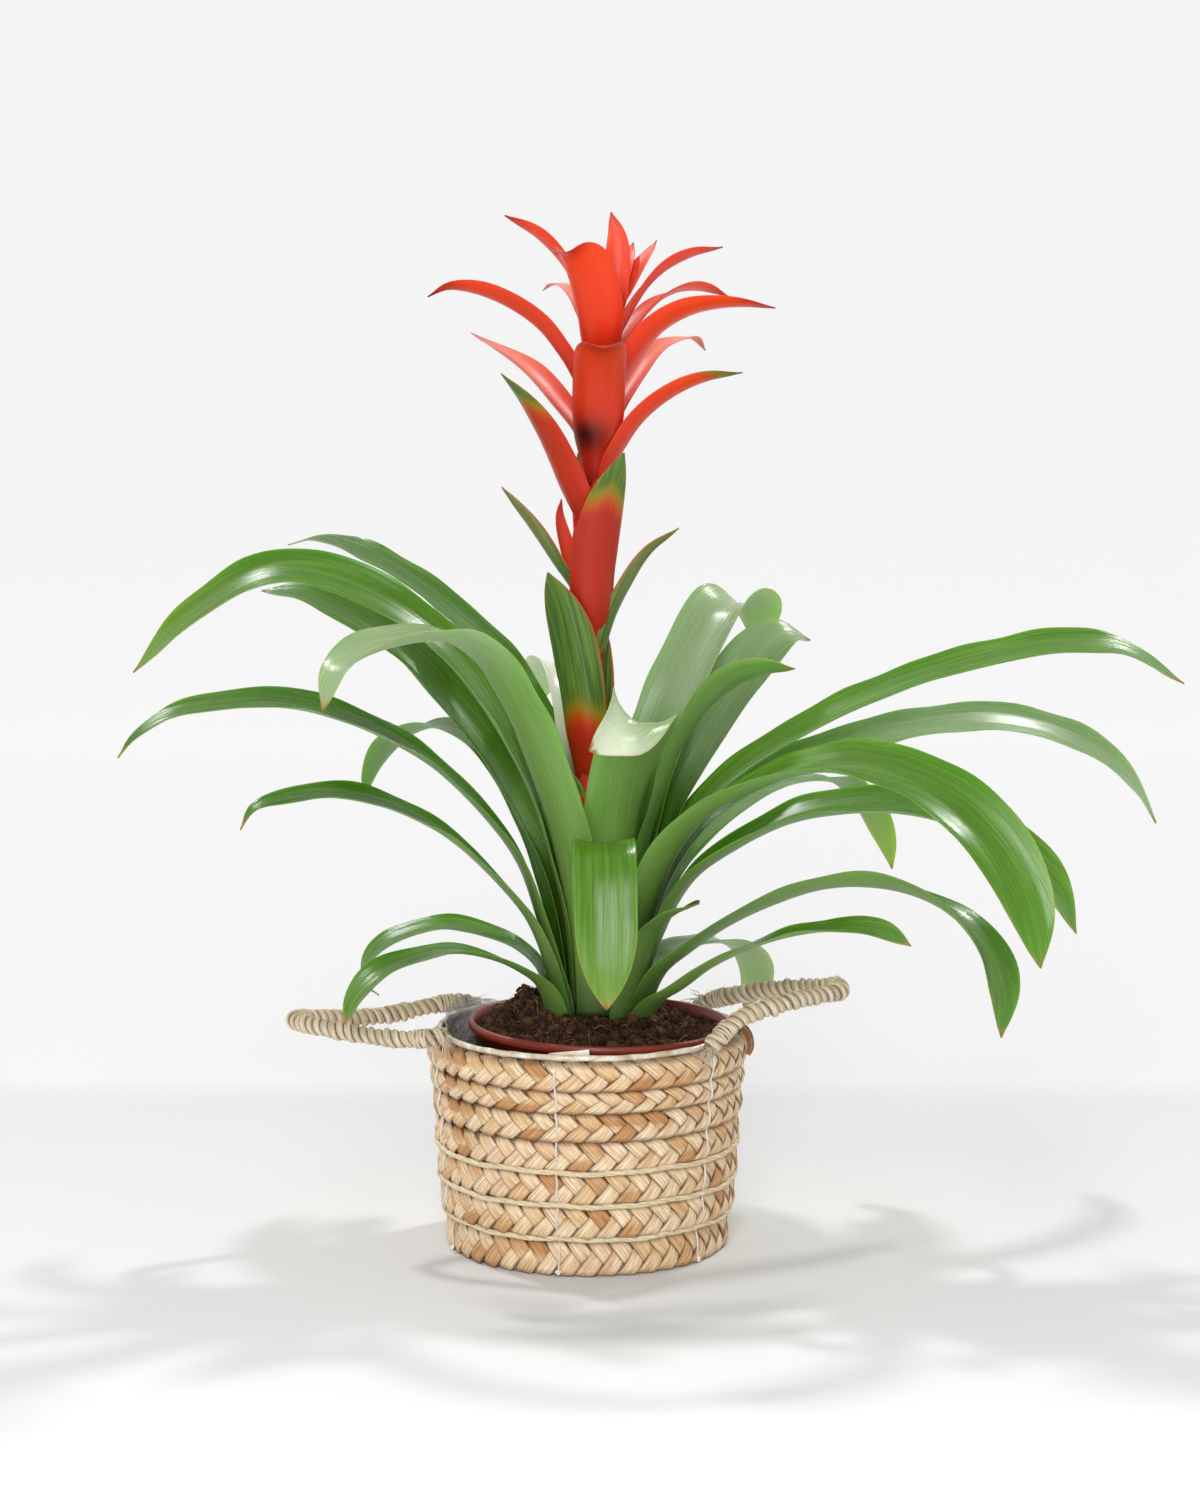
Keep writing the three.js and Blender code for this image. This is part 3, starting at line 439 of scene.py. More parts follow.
def blade(heading, width, spine, foot, point, roll=(0, 0), level=0.05, channel=24.0, hug=0.0,
          axis=(PLANT_X, 0.0), thick=0.8, rows=84, cols=16, ruffle=0.0, fold=0.0, seed=0, tip=2.2):
    """Top and bottom sheets of a blade, (rows + 1) by (cols + 1) points each, with t from base to tip
    and s from the left margin, 1, to the right one, -1.

    The spine is a curve through [reach, height, drift] about the axis. Across it the blade is an arc
    of radius R = min(max(reach, 5), channel) and half angle w / 2R, where the width w runs from the
    foot to an even strap, times (1 - rest^tip)^0.9 past the point. The roll turns the section about
    the spine. Ruffle lifts the margins in waves, and fold presses shallow lengthwise pleats."""
    a = np.radians(heading)
    out = np.array([np.cos(a), np.sin(a), 0])
    left = np.array([-np.sin(a), np.cos(a), 0])
    given = np.array([(*p, 0)[:3] for p in spine], float)
    line = np.array([*axis, 0]) + given[:, :1] * out + given[:, 2:] * left + given[:, 1:2] * [0, 0, 1]
    centre = spline(line, rows)
    t = np.linspace(0, 1, rows + 1)
    along = unit(np.gradient(centre, axis=0))
    side = unit(left - along * (along @ left)[:, None])
    up = np.cross(along, side)
    turn = np.radians(roll_along(roll, (t - level) / (1 - level)))[:, None]
    across = side * np.cos(turn) + up * np.sin(turn)
    face = np.cross(along, across)
    reach = np.hypot(centre[:, 0] - axis[0], centre[:, 1] - axis[1]) + hug
    radius = np.minimum(np.maximum(reach, 5), channel)
    strap = foot + (width - foot) * ease(t, 0, 0.3)
    rest = np.clip((t - point) / (1 - point), 0, 1)
    w = np.maximum(strap * (1 - rest**tip) ** 0.9, 0.9)
    half = w / 2 / radius
    sink = 0.5 * radius * (1 - np.cos(half)) * ease(t, 0.12, 0.4)
    s = np.linspace(1, -1, cols + 1)
    s = np.sign(s) * np.sin(np.abs(s) * np.pi / 2) ** 0.9
    phi = half[:, None] * s
    length = curve_length(centre)
    luck = np.random.default_rng(seed)
    phase = luck.uniform(0, 2 * np.pi, 6)
    free = (ease(t, 0.15, 0.5) * (1 - 0.6 * ease(t, 0.9, 1)))[:, None]
    run = t[:, None] * length
    wave = np.where(s > 0, np.sin(run / 9.5 + phase[0]) + 0.6 * np.sin(run / 5.3 + phase[1]),
                    np.sin(run / 8.7 + phase[2]) + 0.6 * np.sin(run / 6.1 + phase[3]))
    lift = ruffle * free * np.abs(s) ** 3 * wave
    pleats = 3.2 * np.pi * s + phase[4] + 0.6 * np.sin(run / 40 + phase[5])
    lift = lift + fold * free * np.cos(pleats) * (1 - s**2)
    half_thick = thick / 2 * (0.35 + 0.65 * (1 - s**4))[None] * (1 - 0.4 * ease(t, 0.8, 1))[:, None]
    sheets = []
    for offset in (half_thick, -half_thick):
        r = (radius[:, None] - offset)[..., None]
        sheets.append(centre[:, None] + across[:, None] * r * np.sin(phi)[..., None]
                      + face[:, None] * (radius[:, None, None] - r * np.cos(phi)[..., None]
                                         - sink[:, None, None] + lift[..., None]))
    flat = np.stack(np.broadcast_arrays(s[None] * w[:, None] / 2, run), -1) / 10
    return sheets, t, s, flat, length


print("blade surface ready")


# %% A blade closed round its margin
def blade_part(sheets, t, s, flat, **fields):
    """Closes the two sheets of a blade round its margin. It gives each point t along the blade, its
    side s, and under, which is 1 on the lower sheet."""
    rows, cols = len(t), len(s)
    total = rows * cols
    index = np.arange(total).reshape(rows, cols)
    rim = np.concatenate([index[:, 0], index[-1, 1:], index[::-1, -1][1:], index[0, ::-1][1:-1]])
    ahead = np.roll(rim, -1)
    wall = np.stack([rim, ahead, ahead + total, rim + total], -1)
    faces = [grid_faces(rows, cols), grid_faces(rows, cols, first=total)[:, ::-1], wall]
    fields = {k: np.tile(np.broadcast_to(v, (rows, cols)).ravel(), 2) for k, v in fields.items()}
    fields["t"] = np.tile(np.broadcast_to(t[:, None], (rows, cols)).ravel(), 2)
    fields["s"] = np.tile(np.broadcast_to(s[None], (rows, cols)).ravel(), 2)
    fields["under"] = np.repeat([0.0, 1.0], total)
    return np.vstack([q.reshape(-1, 3) for q in sheets]), faces, np.tile(flat.reshape(-1, 2), (2, 1)), fields


print("blade ready")

# %% [markdown]
# ## Leaf finish
#
# A guzmania leaf is thin, leathery and shiny, with close parallel veins. Low down, between its
# neighbours, it is painted dark as shade, and it brightens to a full green outwards. The underside
# is greyer and duller, and the tip dries to brown. A pale painted sheen and a yellow-green painted
# backlight are mixed in where strong light strikes or shines through a leaf.
# The veins could be modelled, but they are a tenth of a millimetre high, so they are streaks of a
# noise that is stretched along the blade's own UV map, in the colour, the gloss and the bump.

# %% Leaf material
def leaf_finish():
    """Veins are a fine and a broad noise stretched along the blade: they set the colour, the gloss and
    the bump. The place t along the blade sets the green, painted dark low down as shade. The lower
    face is greyer. Three fields then mix in a pale painted sheen, a yellow-green painted backlight
    and the brown of a dry tip."""
    r = Recipe("living_leaf")
    fine = r.noise(r.uv(26, 0.22), 4, 0.6)
    broad = r.noise(r.uv(5.5, 0.16, 3.1), 3, 0.5)
    cloud = r.noise(r.solid(14), 3, 0.5)
    t = r.field("t")
    tone = r.field("tone")
    # The upper face is painted dark at the base, as shade among the leaf bases.
    top = r.ramp(t, [(0.0, "34481a"), (0.07, "54762a"), (0.2, "5f8a26"), (0.4, "629422"),
                     (0.65, "568618"), (1.0, "5f8a22")])
    deep = r.mix(r.remap(fine, 0.3, 0.72), top, r.mix(1.0, top, colour("cad4a2"), "MULTIPLY"))
    streaked = r.mix(r.remap(broad, 0.45, 0.8, 0, 0.4), deep, colour("8fb548"))
    clouded = r.mix(r.remap(cloud, 0.4, 0.7, 0, 0.35), streaked, colour("40700a"))
    toned = r.mix(tone, r.mix(1.0, clouded, colour("c0cc98"), "MULTIPLY"), clouded)
    below = r.mix(r.remap(fine, 0.3, 0.7), colour("83a25a"), colour("628638"))
    # Near the base the underside is painted darker still, as shade.
    shaded = r.ramp(t, [(0.0, "34481c"), (0.1, "5a7a34"), (0.2, "86a25c")])
    below = r.mix(r.remap(t, 0.0, 0.22, 0.85, 0), below, shaded)
    sided = r.mix(r.math("MULTIPLY", r.field("under"), 0.72), toned, below)
    # Painted sheen: a pale colour where strong light strikes the leaf or glances off it.
    pale = r.mix(r.field("bleach"), sided, colour("d6dfc6"))
    # Painted backlight: a yellow-green where light shines through the leaf near its tip.
    lit = r.mix(r.field("glow"), pale, colour("9fb43a"))
    dry = r.mix(r.field("dry"), lit, r.ramp(fine, [(0.3, "6b4420"), (0.7, "b98a4a")]))
    return r.finish(
        Base_Color=dry,
        Roughness=r.plus(r.remap(broad, 0.3, 0.75, 0.22, 0.34), r.field("under"), 0.16),
        Normal=r.bump(r.plus(fine, broad, 2.2), 0.16, 0.5),
        Specular_IOR_Level=0.5,
        Subsurface_Weight=0.35,
        Subsurface_Radius=(0.45, 1.0, 0.04),
        Subsurface_Scale=0.003,
    )


LEAF_FINISH = leaf_finish()
print("leaf finish ready")

# %% [markdown]
# ## The leaves
#
# On the real plant the leaf bases sheathe each other like an onion, so the table counts rings
# from the flower's stem outwards, with the innermost leaf first. A row gives the ring, the heading
# in degrees, the width, the rolls of the section, what sets the leaf's finish and tip apart, and
# the spine. A spine is [reach from the axis, height, drift to the left of the heading], in
# millimetres, as the CAD model has it.

# %% Table of leaves
FIRST_RING = 9.9
RING_STEP = 1.4
SHEATH_HEIGHT = 11
CROWN_EDGE = (29.8, 109.5)
CROWN_NECK = (8.6, 121.0)
# A row also sets how much painted sheen and yellow-green painted backlight a leaf gets.
LEAVES = {
    "back_pale": (0, 105, 33, [0, 0], dict(tone=0.5, bleach=0.9), [[11.6, 180], [18, 222], [29, 255],
        [48, 277], [72, 284], [98, 276], [118, 258]]),
    "front_folded": (0, -65, 38, [0, -30],
        dict(level=0.5, point=0.86, tone=0.9, bleach=1, pale_from=0.76, dry=0.1), [[12.5, 175],
        [18, 212], [33, 244], [46, 262], [57, 270, -4], [64, 268, -17], [66, 256, -36]]),
    "left_high_thin": (1, 138, 21, [0, -12], dict(tone=0.1), [[18, 190], [28, 232], [43, 264],
        [64, 287], [88, 303], [120, 320], [160, 335], [197, 341], [221, 336]]),
    "right_dark": (1, -13, 25, [0, -38], dict(level=0.5, tone=0.0), [[19.5, 188], [31, 229], [41, 254],
        [53, 272], [65, 283], [82, 289], [97, 289]]),
    "left_front_broad": (2, -140, 37, [0, 0], dict(tone=0.8, bleach=0.3, pale_from=0.55), [[17, 170],
        [24, 209], [36, 243], [53, 275], [71, 298], [92, 309], [114, 311], [140, 307], [159, 297],
        [166, 279]]),
    "right_back_broad": (2, 48, 44, [0, 0], dict(tone=0.5, bleach=0.3, glow=0.4), [[22, 186], [34, 224],
        [53, 260], [75, 292], [97, 314], [119, 312, 3], [136, 288, 13]]),
    "left_long_top": (3, 170, 32, [0, -8, -30, -34], dict(tone=0.6, dry=1, glow=0.2), [[17, 160],
        [23, 190], [32, 225], [48, 258], [79, 299], [120, 325], [150, 333], [176, 329], [215, 303],
        [237, 280]]),
    "right_back_upper": (3, 35, 33, [0, 30], dict(tone=0.4, bleach=0.25), [[24.5, 180], [41, 219],
        [61, 248], [83, 274], [99, 290], [115, 298], [131, 293]]),
    "left_back_long": (4, 153, 28, [0, -24], dict(tone=0.5), [[25, 182], [39, 211], [58, 240],
        [81, 266], [104, 288], [147, 311], [171, 318], [194, 317]]),
    "right_long_top": (4, 12, 28, [0, 24], dict(tone=0.8, dry=2.5), [[24, 163], [31, 185], [46, 211],
        [66, 232], [103, 255], [155, 277], [212, 291], [241, 294], [270, 291], [303, 272]]),
    "front_centre": (5, -88, 30, [0, 0], dict(channel=40, tone=0.8, glow=0.15, dry=0.8), [[20.5, 155],
        [26, 176], [38, 198], [58, 211], [78, 206], [92, 183], [97, 160], [98, 137]]),
    "back_centre": (5, 84, 28, [0, 0], dict(tone=0.3), [[24.5, 158], [31, 182], [48, 208], [75, 235],
        [115, 245], [150, 235], [175, 212]]),
    "left_back_hanging": (6, 140, 27, [0, 0], dict(tone=0.2), [[29, 168], [46, 208], [65, 233],
        [85, 246], [106, 251], [127, 246], [144, 235], [155, 221], [159, 209]]),
    "right_front_broad": (6, -35, 37, [0, 34], dict(tone=0.9), [[26, 160], [41, 197], [61, 221],
        [87, 237], [112, 247], [138, 252], [164, 250], [190, 242], [214, 227], [231, 207], [241, 186],
        [245, 165]]),
    "left_long_middle": (7, -172, 27, [0, -22], dict(point=0.6, tone=0.2, dry=1.5), [[31, 164],
        [40, 192], [55, 215], [78, 239], [103, 256], [127, 267], [156, 274], [185, 273], [209, 268],
        [226, 258], [234, 247]]),
    "right_long_middle": (7, 22, 28, [0, 22, 42], dict(tone=0.8, bleach=0.2, dry=1), [[27, 156],
        [34, 179], [51, 205], [75, 223], [102, 234], [133, 243], [164, 249], [195, 252], [224, 251],
        [254, 244], [282, 231], [302, 214], [315, 192]]),
    "right_middle_broad": (8, -12, 34, [0, 26], dict(tone=0.7), [[32, 156], [47, 185], [70, 204],
        [94, 217], [119, 223], [144, 225], [169, 222], [192, 213], [211, 200], [226, 183], [234, 164]]),
    "back_left_middle": (8, 102, 26, [0, 0], dict(tone=0.3), [[29, 156], [50, 190], [80, 210],
        [115, 212], [145, 197], [160, 176]]),
    "left_long_lower": (9, -165, 24, [0, -20], dict(point=0.6, tone=0.3, dry=1.5), [[29, 146],
        [37, 165], [51, 184], [70, 203], [90, 217], [110, 226], [134, 231], [158, 229], [172, 224],
        [178, 214]]),
    "right_back_hanging": (9, 48, 26, [0, 0], dict(tone=0.6, glow=0.6), [[31, 148], [52, 180],
        [87, 201], [127, 214], [164, 216], [194, 210], [216, 194], [230, 175], [237, 158]]),
    "front_right_short": (10, -50, 20, [0, 10], dict(tone=0.1), [[29, 142], [39, 162], [54, 173],
        [74, 180]]),
    "back_right_low": (10, 74, 26, [0, 0], dict(tone=0.4, bleach=0.5), [[35, 140], [53, 160], [78, 176],
        [104, 176], [126, 162]]),
    "left_low_curled": (11, 175, 21, [0, -22], dict(point=0.65, tone=0.5, dry=1), [[31, 138], [42, 149],
        [56, 155], [74, 159], [91, 156], [107, 149], [116, 139], [117, 128], [110, 122]]),
    "right_low_long": (11, -18, 29, [0, -20, 42],
        dict(level=0.2, point=0.76, tone=0.5, dry=0.6), [[33, 136], [47, 149], [66, 164], [89, 177],
        [114, 186], [141, 188], [165, 183], [184, 172], [197, 157], [203, 138], [202, 116]]),
    "left_low_front": (12, -150, 21, [0, -8], dict(tone=0.6, dry=0.5), [[33, 131], [45, 141], [62, 150],
        [83, 155], [105, 153], [123, 147], [135, 136], [140, 124]]),
    "back_right_lowest": (12, 55, 24, [0, 0], dict(tone=0.5, bleach=0.3), [[34, 128], [57, 136],
        [89, 138], [118, 133], [137, 123], [144, 111], [141, 101], [132, 96]]),
    "right_low_front": (13, -35, 22, [0, 12], dict(tone=0.7, dry=0.5), [[35, 124], [47, 132], [65, 146],
        [87, 158], [110, 167], [135, 173], [157, 174], [177, 168]]),
    "back_lowest": (13, 100, 22, [0, 0], dict(tone=0.3), [[37, 124], [54, 137], [78, 148], [106, 147],
        [130, 134]]),
}


print("leaves in the table:", len(LEAVES))


# %% Making the leaves
def make_leaf(number, name, ring, heading, width, roll, spine, dry=0.4, tone=0.0, bleach=0.0, glow=0.0,
              pale_from=0.4, point=0.8, **shape):
    """One leaf of the rosette, from its base on the crown's shoulder to its tip. A dry tip of the
    given length, in millimetres, fades in with the distance from the tip and from the margins."""
    base = FIRST_RING + RING_STEP * ring
    slope = (CROWN_EDGE[1] - CROWN_NECK[1]) / (CROWN_EDGE[0] - CROWN_NECK[0])
    bottom = CROWN_NECK[1] + slope * (base - 0.4 - CROWN_NECK[0]) + 0.35
    full = [[base, bottom], [base + 0.3, bottom + SHEATH_HEIGHT - 0.5 * ring], *spine]
    foot = min(1.5 * base, 1.2 * width)
    sheets, t, s, flat, length = blade(heading, width, full, foot, point, roll, seed=number, ruffle=0.5,
                                       fold=0.35, **shape)
    way = t[:, None]
    scorch = 1 - ease((1 - way) * length - 2.5 * np.abs(s) - 0.8, dry, dry * 2 + 2)
    edge_scorch = 0.5 * ease(np.abs(s), 0.9, 1) * ease(way, 0.7, 1)
    # A pale painted sheen fades in from pale_from outwards.
    part = blade_part(sheets, t, s, flat, tone=tone, dry=np.clip(scorch + edge_scorch, 0, 1),
                      bleach=bleach * ease(way, pale_from, pale_from + 0.2), glow=glow * ease(way, 0.75, 1))
    node = f"leaf_{number:02d}_{name}"
    joined_piece(node + "_blade", [part], LEAF_FINISH, "leaf", node)
    return length


lengths = []
for number, (name, (ring, heading, width, roll, more, spine)) in enumerate(LEAVES.items()):
    lengths.append(make_leaf(number + 1, name, ring, heading, width, roll, spine, **more))
print("leaves:", len(lengths), "from", round(min(lengths)), "to", round(max(lengths)), "mm long")

# %% [markdown]
# ## Bract finish
#
# Bracts are the coloured leaves round the flowers. They are waxy, orange-red at the top of the
# spike and deeper red lower down, where their tips stay green. The green is a point field worked
# out with each bract, because it belongs to a place on the bract and not to a place in space. The
# upper face of a bract is a little pinker than the lower one.

# %% Bract material
def bract_finish():
    """A bright and a dark red run along the bract and are mixed by the field deep. Both are painted
    darker at the base, as shade among the bracts. The field green turns the red through orange and
    olive to a streaked green. The field pale, and then a dark painted shadow low down, come last."""
    r = Recipe("waxy_bract")
    fine = r.noise(r.uv(30, 0.3), 4, 0.6)
    broad = r.noise(r.uv(6, 0.25, 5.3), 3, 0.5)
    cloud = r.noise(r.solid(22), 3, 0.5)
    t, deep, green, under = (r.field(name) for name in ("t", "deep", "green", "under"))
    # Both reds are painted dark at t = 0, as shade where the bracts meet the stem.
    bright = r.ramp(t, [(0.0, "7c1a0a"), (0.14, "c2300f"), (0.35, "d83a16"), (0.82, "e24718"),
                        (0.94, "b52a12"), (1.0, "6e1d12")])
    dark = r.ramp(t, [(0.0, "7a1a0c"), (0.15, "96200d"), (0.4, "a3260f"), (0.8, "96200f"),
                      (1.0, "641a12")])
    red = r.mix(deep, bright, dark)
    red = r.mix(r.remap(fine, 0.3, 0.75, 0, 0.3), red, r.mix(1.0, red, colour("c9928c"), "MULTIPLY"))
    red = r.mix(r.remap(cloud, 0.45, 0.75, 0, 0.35), red, colour("c43227"))
    inside = r.mix(r.math("MULTIPLY", r.math("SUBTRACT", 1.0, under), 0.2), red, colour("f4604a"))
    leafy = r.mix(r.remap(broad, 0.35, 0.7), colour("3c5c22"), colour("648a38"))
    edge = r.remap(r.math("ABSOLUTE", r.field("s")), 0.86, 1.0, 0, 0.75)
    leafy = r.mix(edge, leafy, colour("b4532c"))
    share = r.remap(r.math("ADD", green, r.remap(fine, 0.2, 0.8, -0.12, 0.12)), 0.12, 0.88)
    turning = r.ramp(share, [(0.0, "c43a14"), (0.35, "a85c14"), (0.6, "7d7a1c"), (1.0, "44641c")])
    blend = r.mix(r.remap(share, 0.0, 0.35), inside, turning)
    done = r.mix(r.remap(share, 0.6, 1.0), blend, leafy)
    pale = r.mix(r.field("pale"), done, colour("efb0a0"))
    # Painted shadow: a dark patch low down where a neighbouring bract shades this one.
    burnt = r.mix(r.field("burn"), pale, colour("2e0d10"))
    return r.finish(
        Base_Color=burnt,
        Roughness=r.remap(broad, 0.3, 0.75, 0.32, 0.44),
        Normal=r.bump(r.plus(fine, broad, 2.0), 0.1, 0.25),
        Specular_IOR_Level=0.25,
        Subsurface_Weight=0.3,
        Subsurface_Radius=(1.0, 0.22, 0.04),
        Subsurface_Scale=0.003,
    )


BRACT_FINISH = bract_finish()
print("bract finish ready")

# %% [markdown]
# ## The flower spike
#
# The spike is one stem with bracts growing from it at every height, the lowest ones almost
# leaves. They are fused at their bases on the real plant. Here each is a blade of its own whose
# base runs into the stem, and all of them are one mesh. A row gives the heading, the width, what
# sets the bract's finish and tip apart, and the spine from the stem's leaning middle. How far down
# the green reaches is given as a share of each bract's length.

# %% Table of bracts
STEM_RADIUS = 6.3
STEM_TOP_RADIUS = 3.6
STEM_SIDES = 20
STEM = [[0, 108], [-2, 150], [-5, 195], [-5, 260], [-4, 310], [-1.5, 360], [0, 410], [2, 445], [3.5, 462]]
BRACTS = [
    (90, 13, dict(point=0.5), [[1, 452, -3], [4, 468, -5], [6, 482, -6], [8, 495, -6], [9, 507.5, -3]]),
    (165, 19, dict(roll=[8, 38]), [[3, 436], [8, 453], [12, 470], [19, 484], [32, 497], [49, 506]]),
    (-105, 28, dict(point=0.75), [[3, 425], [6, 444], [9, 458, 1], [15, 473, 0], [22, 484, -3],
        [29, 489, -8], [35, 488, -14]]),
    # This bract carries a painted shadow low down.
    (-86, 30, dict(point=0.72, deep=0.4, burn=1.0), [[3, 376], [7, 395], [11, 412], [17, 428],
        [25, 440], [34, 445], [41, 443]]),
    (178, 20, dict(roll=[20, 30], deep=0.15), [[3, 410], [10, 424], [17, 439], [27, 453], [42, 464],
        [60, 471], [73, 472], [83, 467]]),
    (126, 13, dict(pale=0.6), [[3, 438], [9, 451], [19, 465], [31, 472], [42, 473], [50, 470]]),
    (25, 20, dict(roll=[-15, -28]), [[3, 434], [10, 450], [18, 466], [30, 479], [46, 487], [65, 491]]),
    (62, 14, dict(), [[2, 456], [8, 468], [18, 482], [29, 493]]),
    (42, 14, dict(), [[2, 452], [10, 466], [22, 482], [34, 494]]),
    (40, 18, dict(roll=[-10, -20]), [[3, 428], [14, 446], [26, 459], [38, 467], [52, 471], [66, 471],
        [82, 467]]),
    (-18, 24, dict(roll=[-12, -22]), [[3, 406], [10, 424], [17, 438], [28, 452], [44, 461], [60, 464],
        [75, 464], [88, 462]]),
    (50, 18, dict(pale=0.4), [[3, 396], [16, 416], [29, 430], [43, 441], [60, 446], [75, 446], [83, 440]]),
    (-8, 19, dict(roll=[-15, -28], green=0.05), [[3, 362], [6, 380], [11, 394], [20, 408], [34, 420],
        [54, 429], [71, 431]]),
    (150, 24, dict(pale=0.35, deep=0.3), [[3, 384], [12, 404], [24, 419], [37, 431], [54, 441],
        [72, 449]]),
    (-145, 27, dict(point=0.4, green=0.13, deep=0.7), [[3, 342], [9, 362], [18, 384], [28, 402],
        [40, 418], [54, 431]]),
    (-72, 27, dict(point=0.5, green=0.14, deep=0.85), [[3, 284], [7, 310], [9, 330, -1], [12, 350],
        [16, 368, 3], [21, 382, 6], [25, 393, 9]]),
    (172, 18, dict(roll=[20, 35], green=0.75, deep=0.6, pale=0.12), [[3, 308], [9, 326], [18, 341],
        [29, 357], [44, 375]]),
    (150, 15, dict(deep=0.1), [[3, 316], [10, 332], [15, 346], [18, 360], [17, 369]]),
    (8, 18, dict(roll=[-20, -38], green=0.7, deep=0.5, pale=0.1), [[3, 270], [5, 290], [10, 311],
        [18, 328], [29, 344], [44, 355]]),
    (-112, 29, dict(point=0.6, green=0.55, deep=0.6), [[3, 222], [7, 250], [9, 275, -1], [12, 298, -4],
        [16, 318, -8], [21, 335, -13]]),
    (-110, 12, dict(deep=0.4, green=0.3), [[4, 204], [9, 220, -2], [12, 238, -6]]),
    (75, 24, dict(green=0.5, deep=0.7), [[3, 232], [8, 262], [13, 290], [20, 312]]),
    (95, 20, dict(green=0.3, deep=0.6), [[3, 298], [8, 322], [14, 342], [22, 358], [30, 368]]),
    (92, 21, dict(green=0.2, deep=0.4), [[3, 330], [9, 354], [18, 376], [30, 393], [42, 402]]),
    (84, 18, dict(), [[3, 380], [10, 400], [20, 420], [33, 435], [48, 442]]),
]


print("bracts in the table:", len(BRACTS))


# %% Making the spike
def make_bract(number, heading, width, spine, green=0.0, deep=0.0, pale=0.0, burn=0.0, point=0.4,
               **shape):
    """One bract. The green fades in over the last share of its length, a little further along the
    margins than along the middle. A painted shadow is a dark patch low down, right of the middle:
    it falls off as exp(-u^2 - v^2) with the distances u along the bract and v across it."""
    lean = np.interp(spine[0][1], [z for _, z in STEM], [x for x, _ in STEM])
    foot = min(0.6 * width, 11)
    sheets, t, s, flat, _ = blade(heading, width, spine, foot, point, channel=15.0, hug=4.0, thick=0.9,
                                  axis=(PLANT_X + lean, 0.0), rows=44, cols=12, ruffle=0.25, fold=0.15,
                                  seed=100 + number, **shape)
    way = t[:, None]
    start = 1 - green
    leafiness = ease(way + 0.08 * np.abs(s), start - 0.2, start + 0.14) if green else 0.0
    shadow_patch = burn * np.exp(-(((way - 0.3) / 0.11) ** 2) - ((s + 0.45) / 0.75) ** 2)
    return blade_part(sheets, t, s, flat, green=leafiness, deep=deep, burn=shadow_patch,
                      pale=pale * ease(way, 0.2, 0.8))


def make_stem():
    """The stem as a tube: centre on the leaning line of the table, radius falling from base to top."""
    path = spline([[PLANT_X + x, 0, z] for x, z in STEM], 60)
    radius = np.linspace(STEM_RADIUS, STEM_TOP_RADIUS, len(path))
    outward = np.tile([0.0, -1, 0], (len(path), 1))
    rings, faces, uv = sweep(path, outward, radius, radius, STEM_SIDES)
    share = np.repeat(np.linspace(0, 1, len(path)), STEM_SIDES)
    return rings, faces, uv, {"t": share, "s": 0.0, "under": 0.0, "green": 1 - ease(share, 0.2, 0.32),
                              "deep": 0.8, "pale": 0.0, "burn": 0.0}


spike_parts = [make_bract(number, heading, width, spine, **more)
               for number, (heading, width, more, spine) in enumerate(BRACTS)]
spike = joined_piece("bracts_and_stem", [*spike_parts, make_stem()], BRACT_FINISH, "bract", "flower_spike")
print("spike of", len(spike_parts), "bracts:", len(spike.data.polygons), "faces")

# %% [markdown]
# ## Crown and pot
#
# The crown is the short stock where all the leaf bases meet, painted a very dark brown as the
# shade deep among them. The nursery pot is thin moulded plastic with a thicker lip. Both could be
# built up from rings by hand, but each is the same all round, so it is a profile turned about an
# axis. The pot leans a little in its basket.

# %% Turning a profile
POT_RIM_RADIUS = 64.6
POT_RIM_TOP = 111.8
POT_BASE_RADIUS = 47.0
POT_HEIGHT = 103.6
POT_WALL = 1.3
POT_MIDDLE = 60
POT_BASE = POT_RIM_TOP - POT_HEIGHT
POT_FLOOR = POT_BASE + 2.2
LIP_BOTTOM = POT_RIM_TOP - 4.0
POT_LEAN = np.radians(1.28)


def turned(profile, sides):
    """A closed profile of (radius, height) turned about Z: point (r cos a, r sin a, z)."""
    profile = np.asarray(profile, float)
    angle = 2 * np.pi * np.arange(sides) / sides
    rings = np.stack([profile[:, 0, None] * np.cos(angle), profile[:, 0, None] * np.sin(angle),
                      np.broadcast_to(profile[:, 1, None], (len(profile), sides))], -1)
    run = run_along(profile)
    flat = np.stack(np.broadcast_arrays(angle[None] * 6.0, run[:, None] / 10), -1)
    return rings, tube_faces(len(profile), sides), flat


def leaned(points):
    """The pot's lean: a turn about Y through the middle of its rim."""
    p = np.asarray(points, float).reshape(-1, 3) - [0, 0, POT_RIM_TOP]
    c, s = np.cos(POT_LEAN), np.sin(POT_LEAN)
    turn = np.array([[c, 0, s], [0, 1, 0], [-s, 0, c]])
    return p @ turn.T + [PLANT_X, 0, POT_RIM_TOP]


def wall_radius(z):
    """Outer radius of the pot's wall: a straight taper from the base to the lip."""
    return POT_BASE_RADIUS + (POT_RIM_RADIUS - 1.8 - POT_BASE_RADIUS) * (z - POT_BASE) / POT_HEIGHT


print("pot wall from", POT_BASE_RADIUS, "to", round(wall_radius(LIP_BOTTOM), 1), "mm in radius")

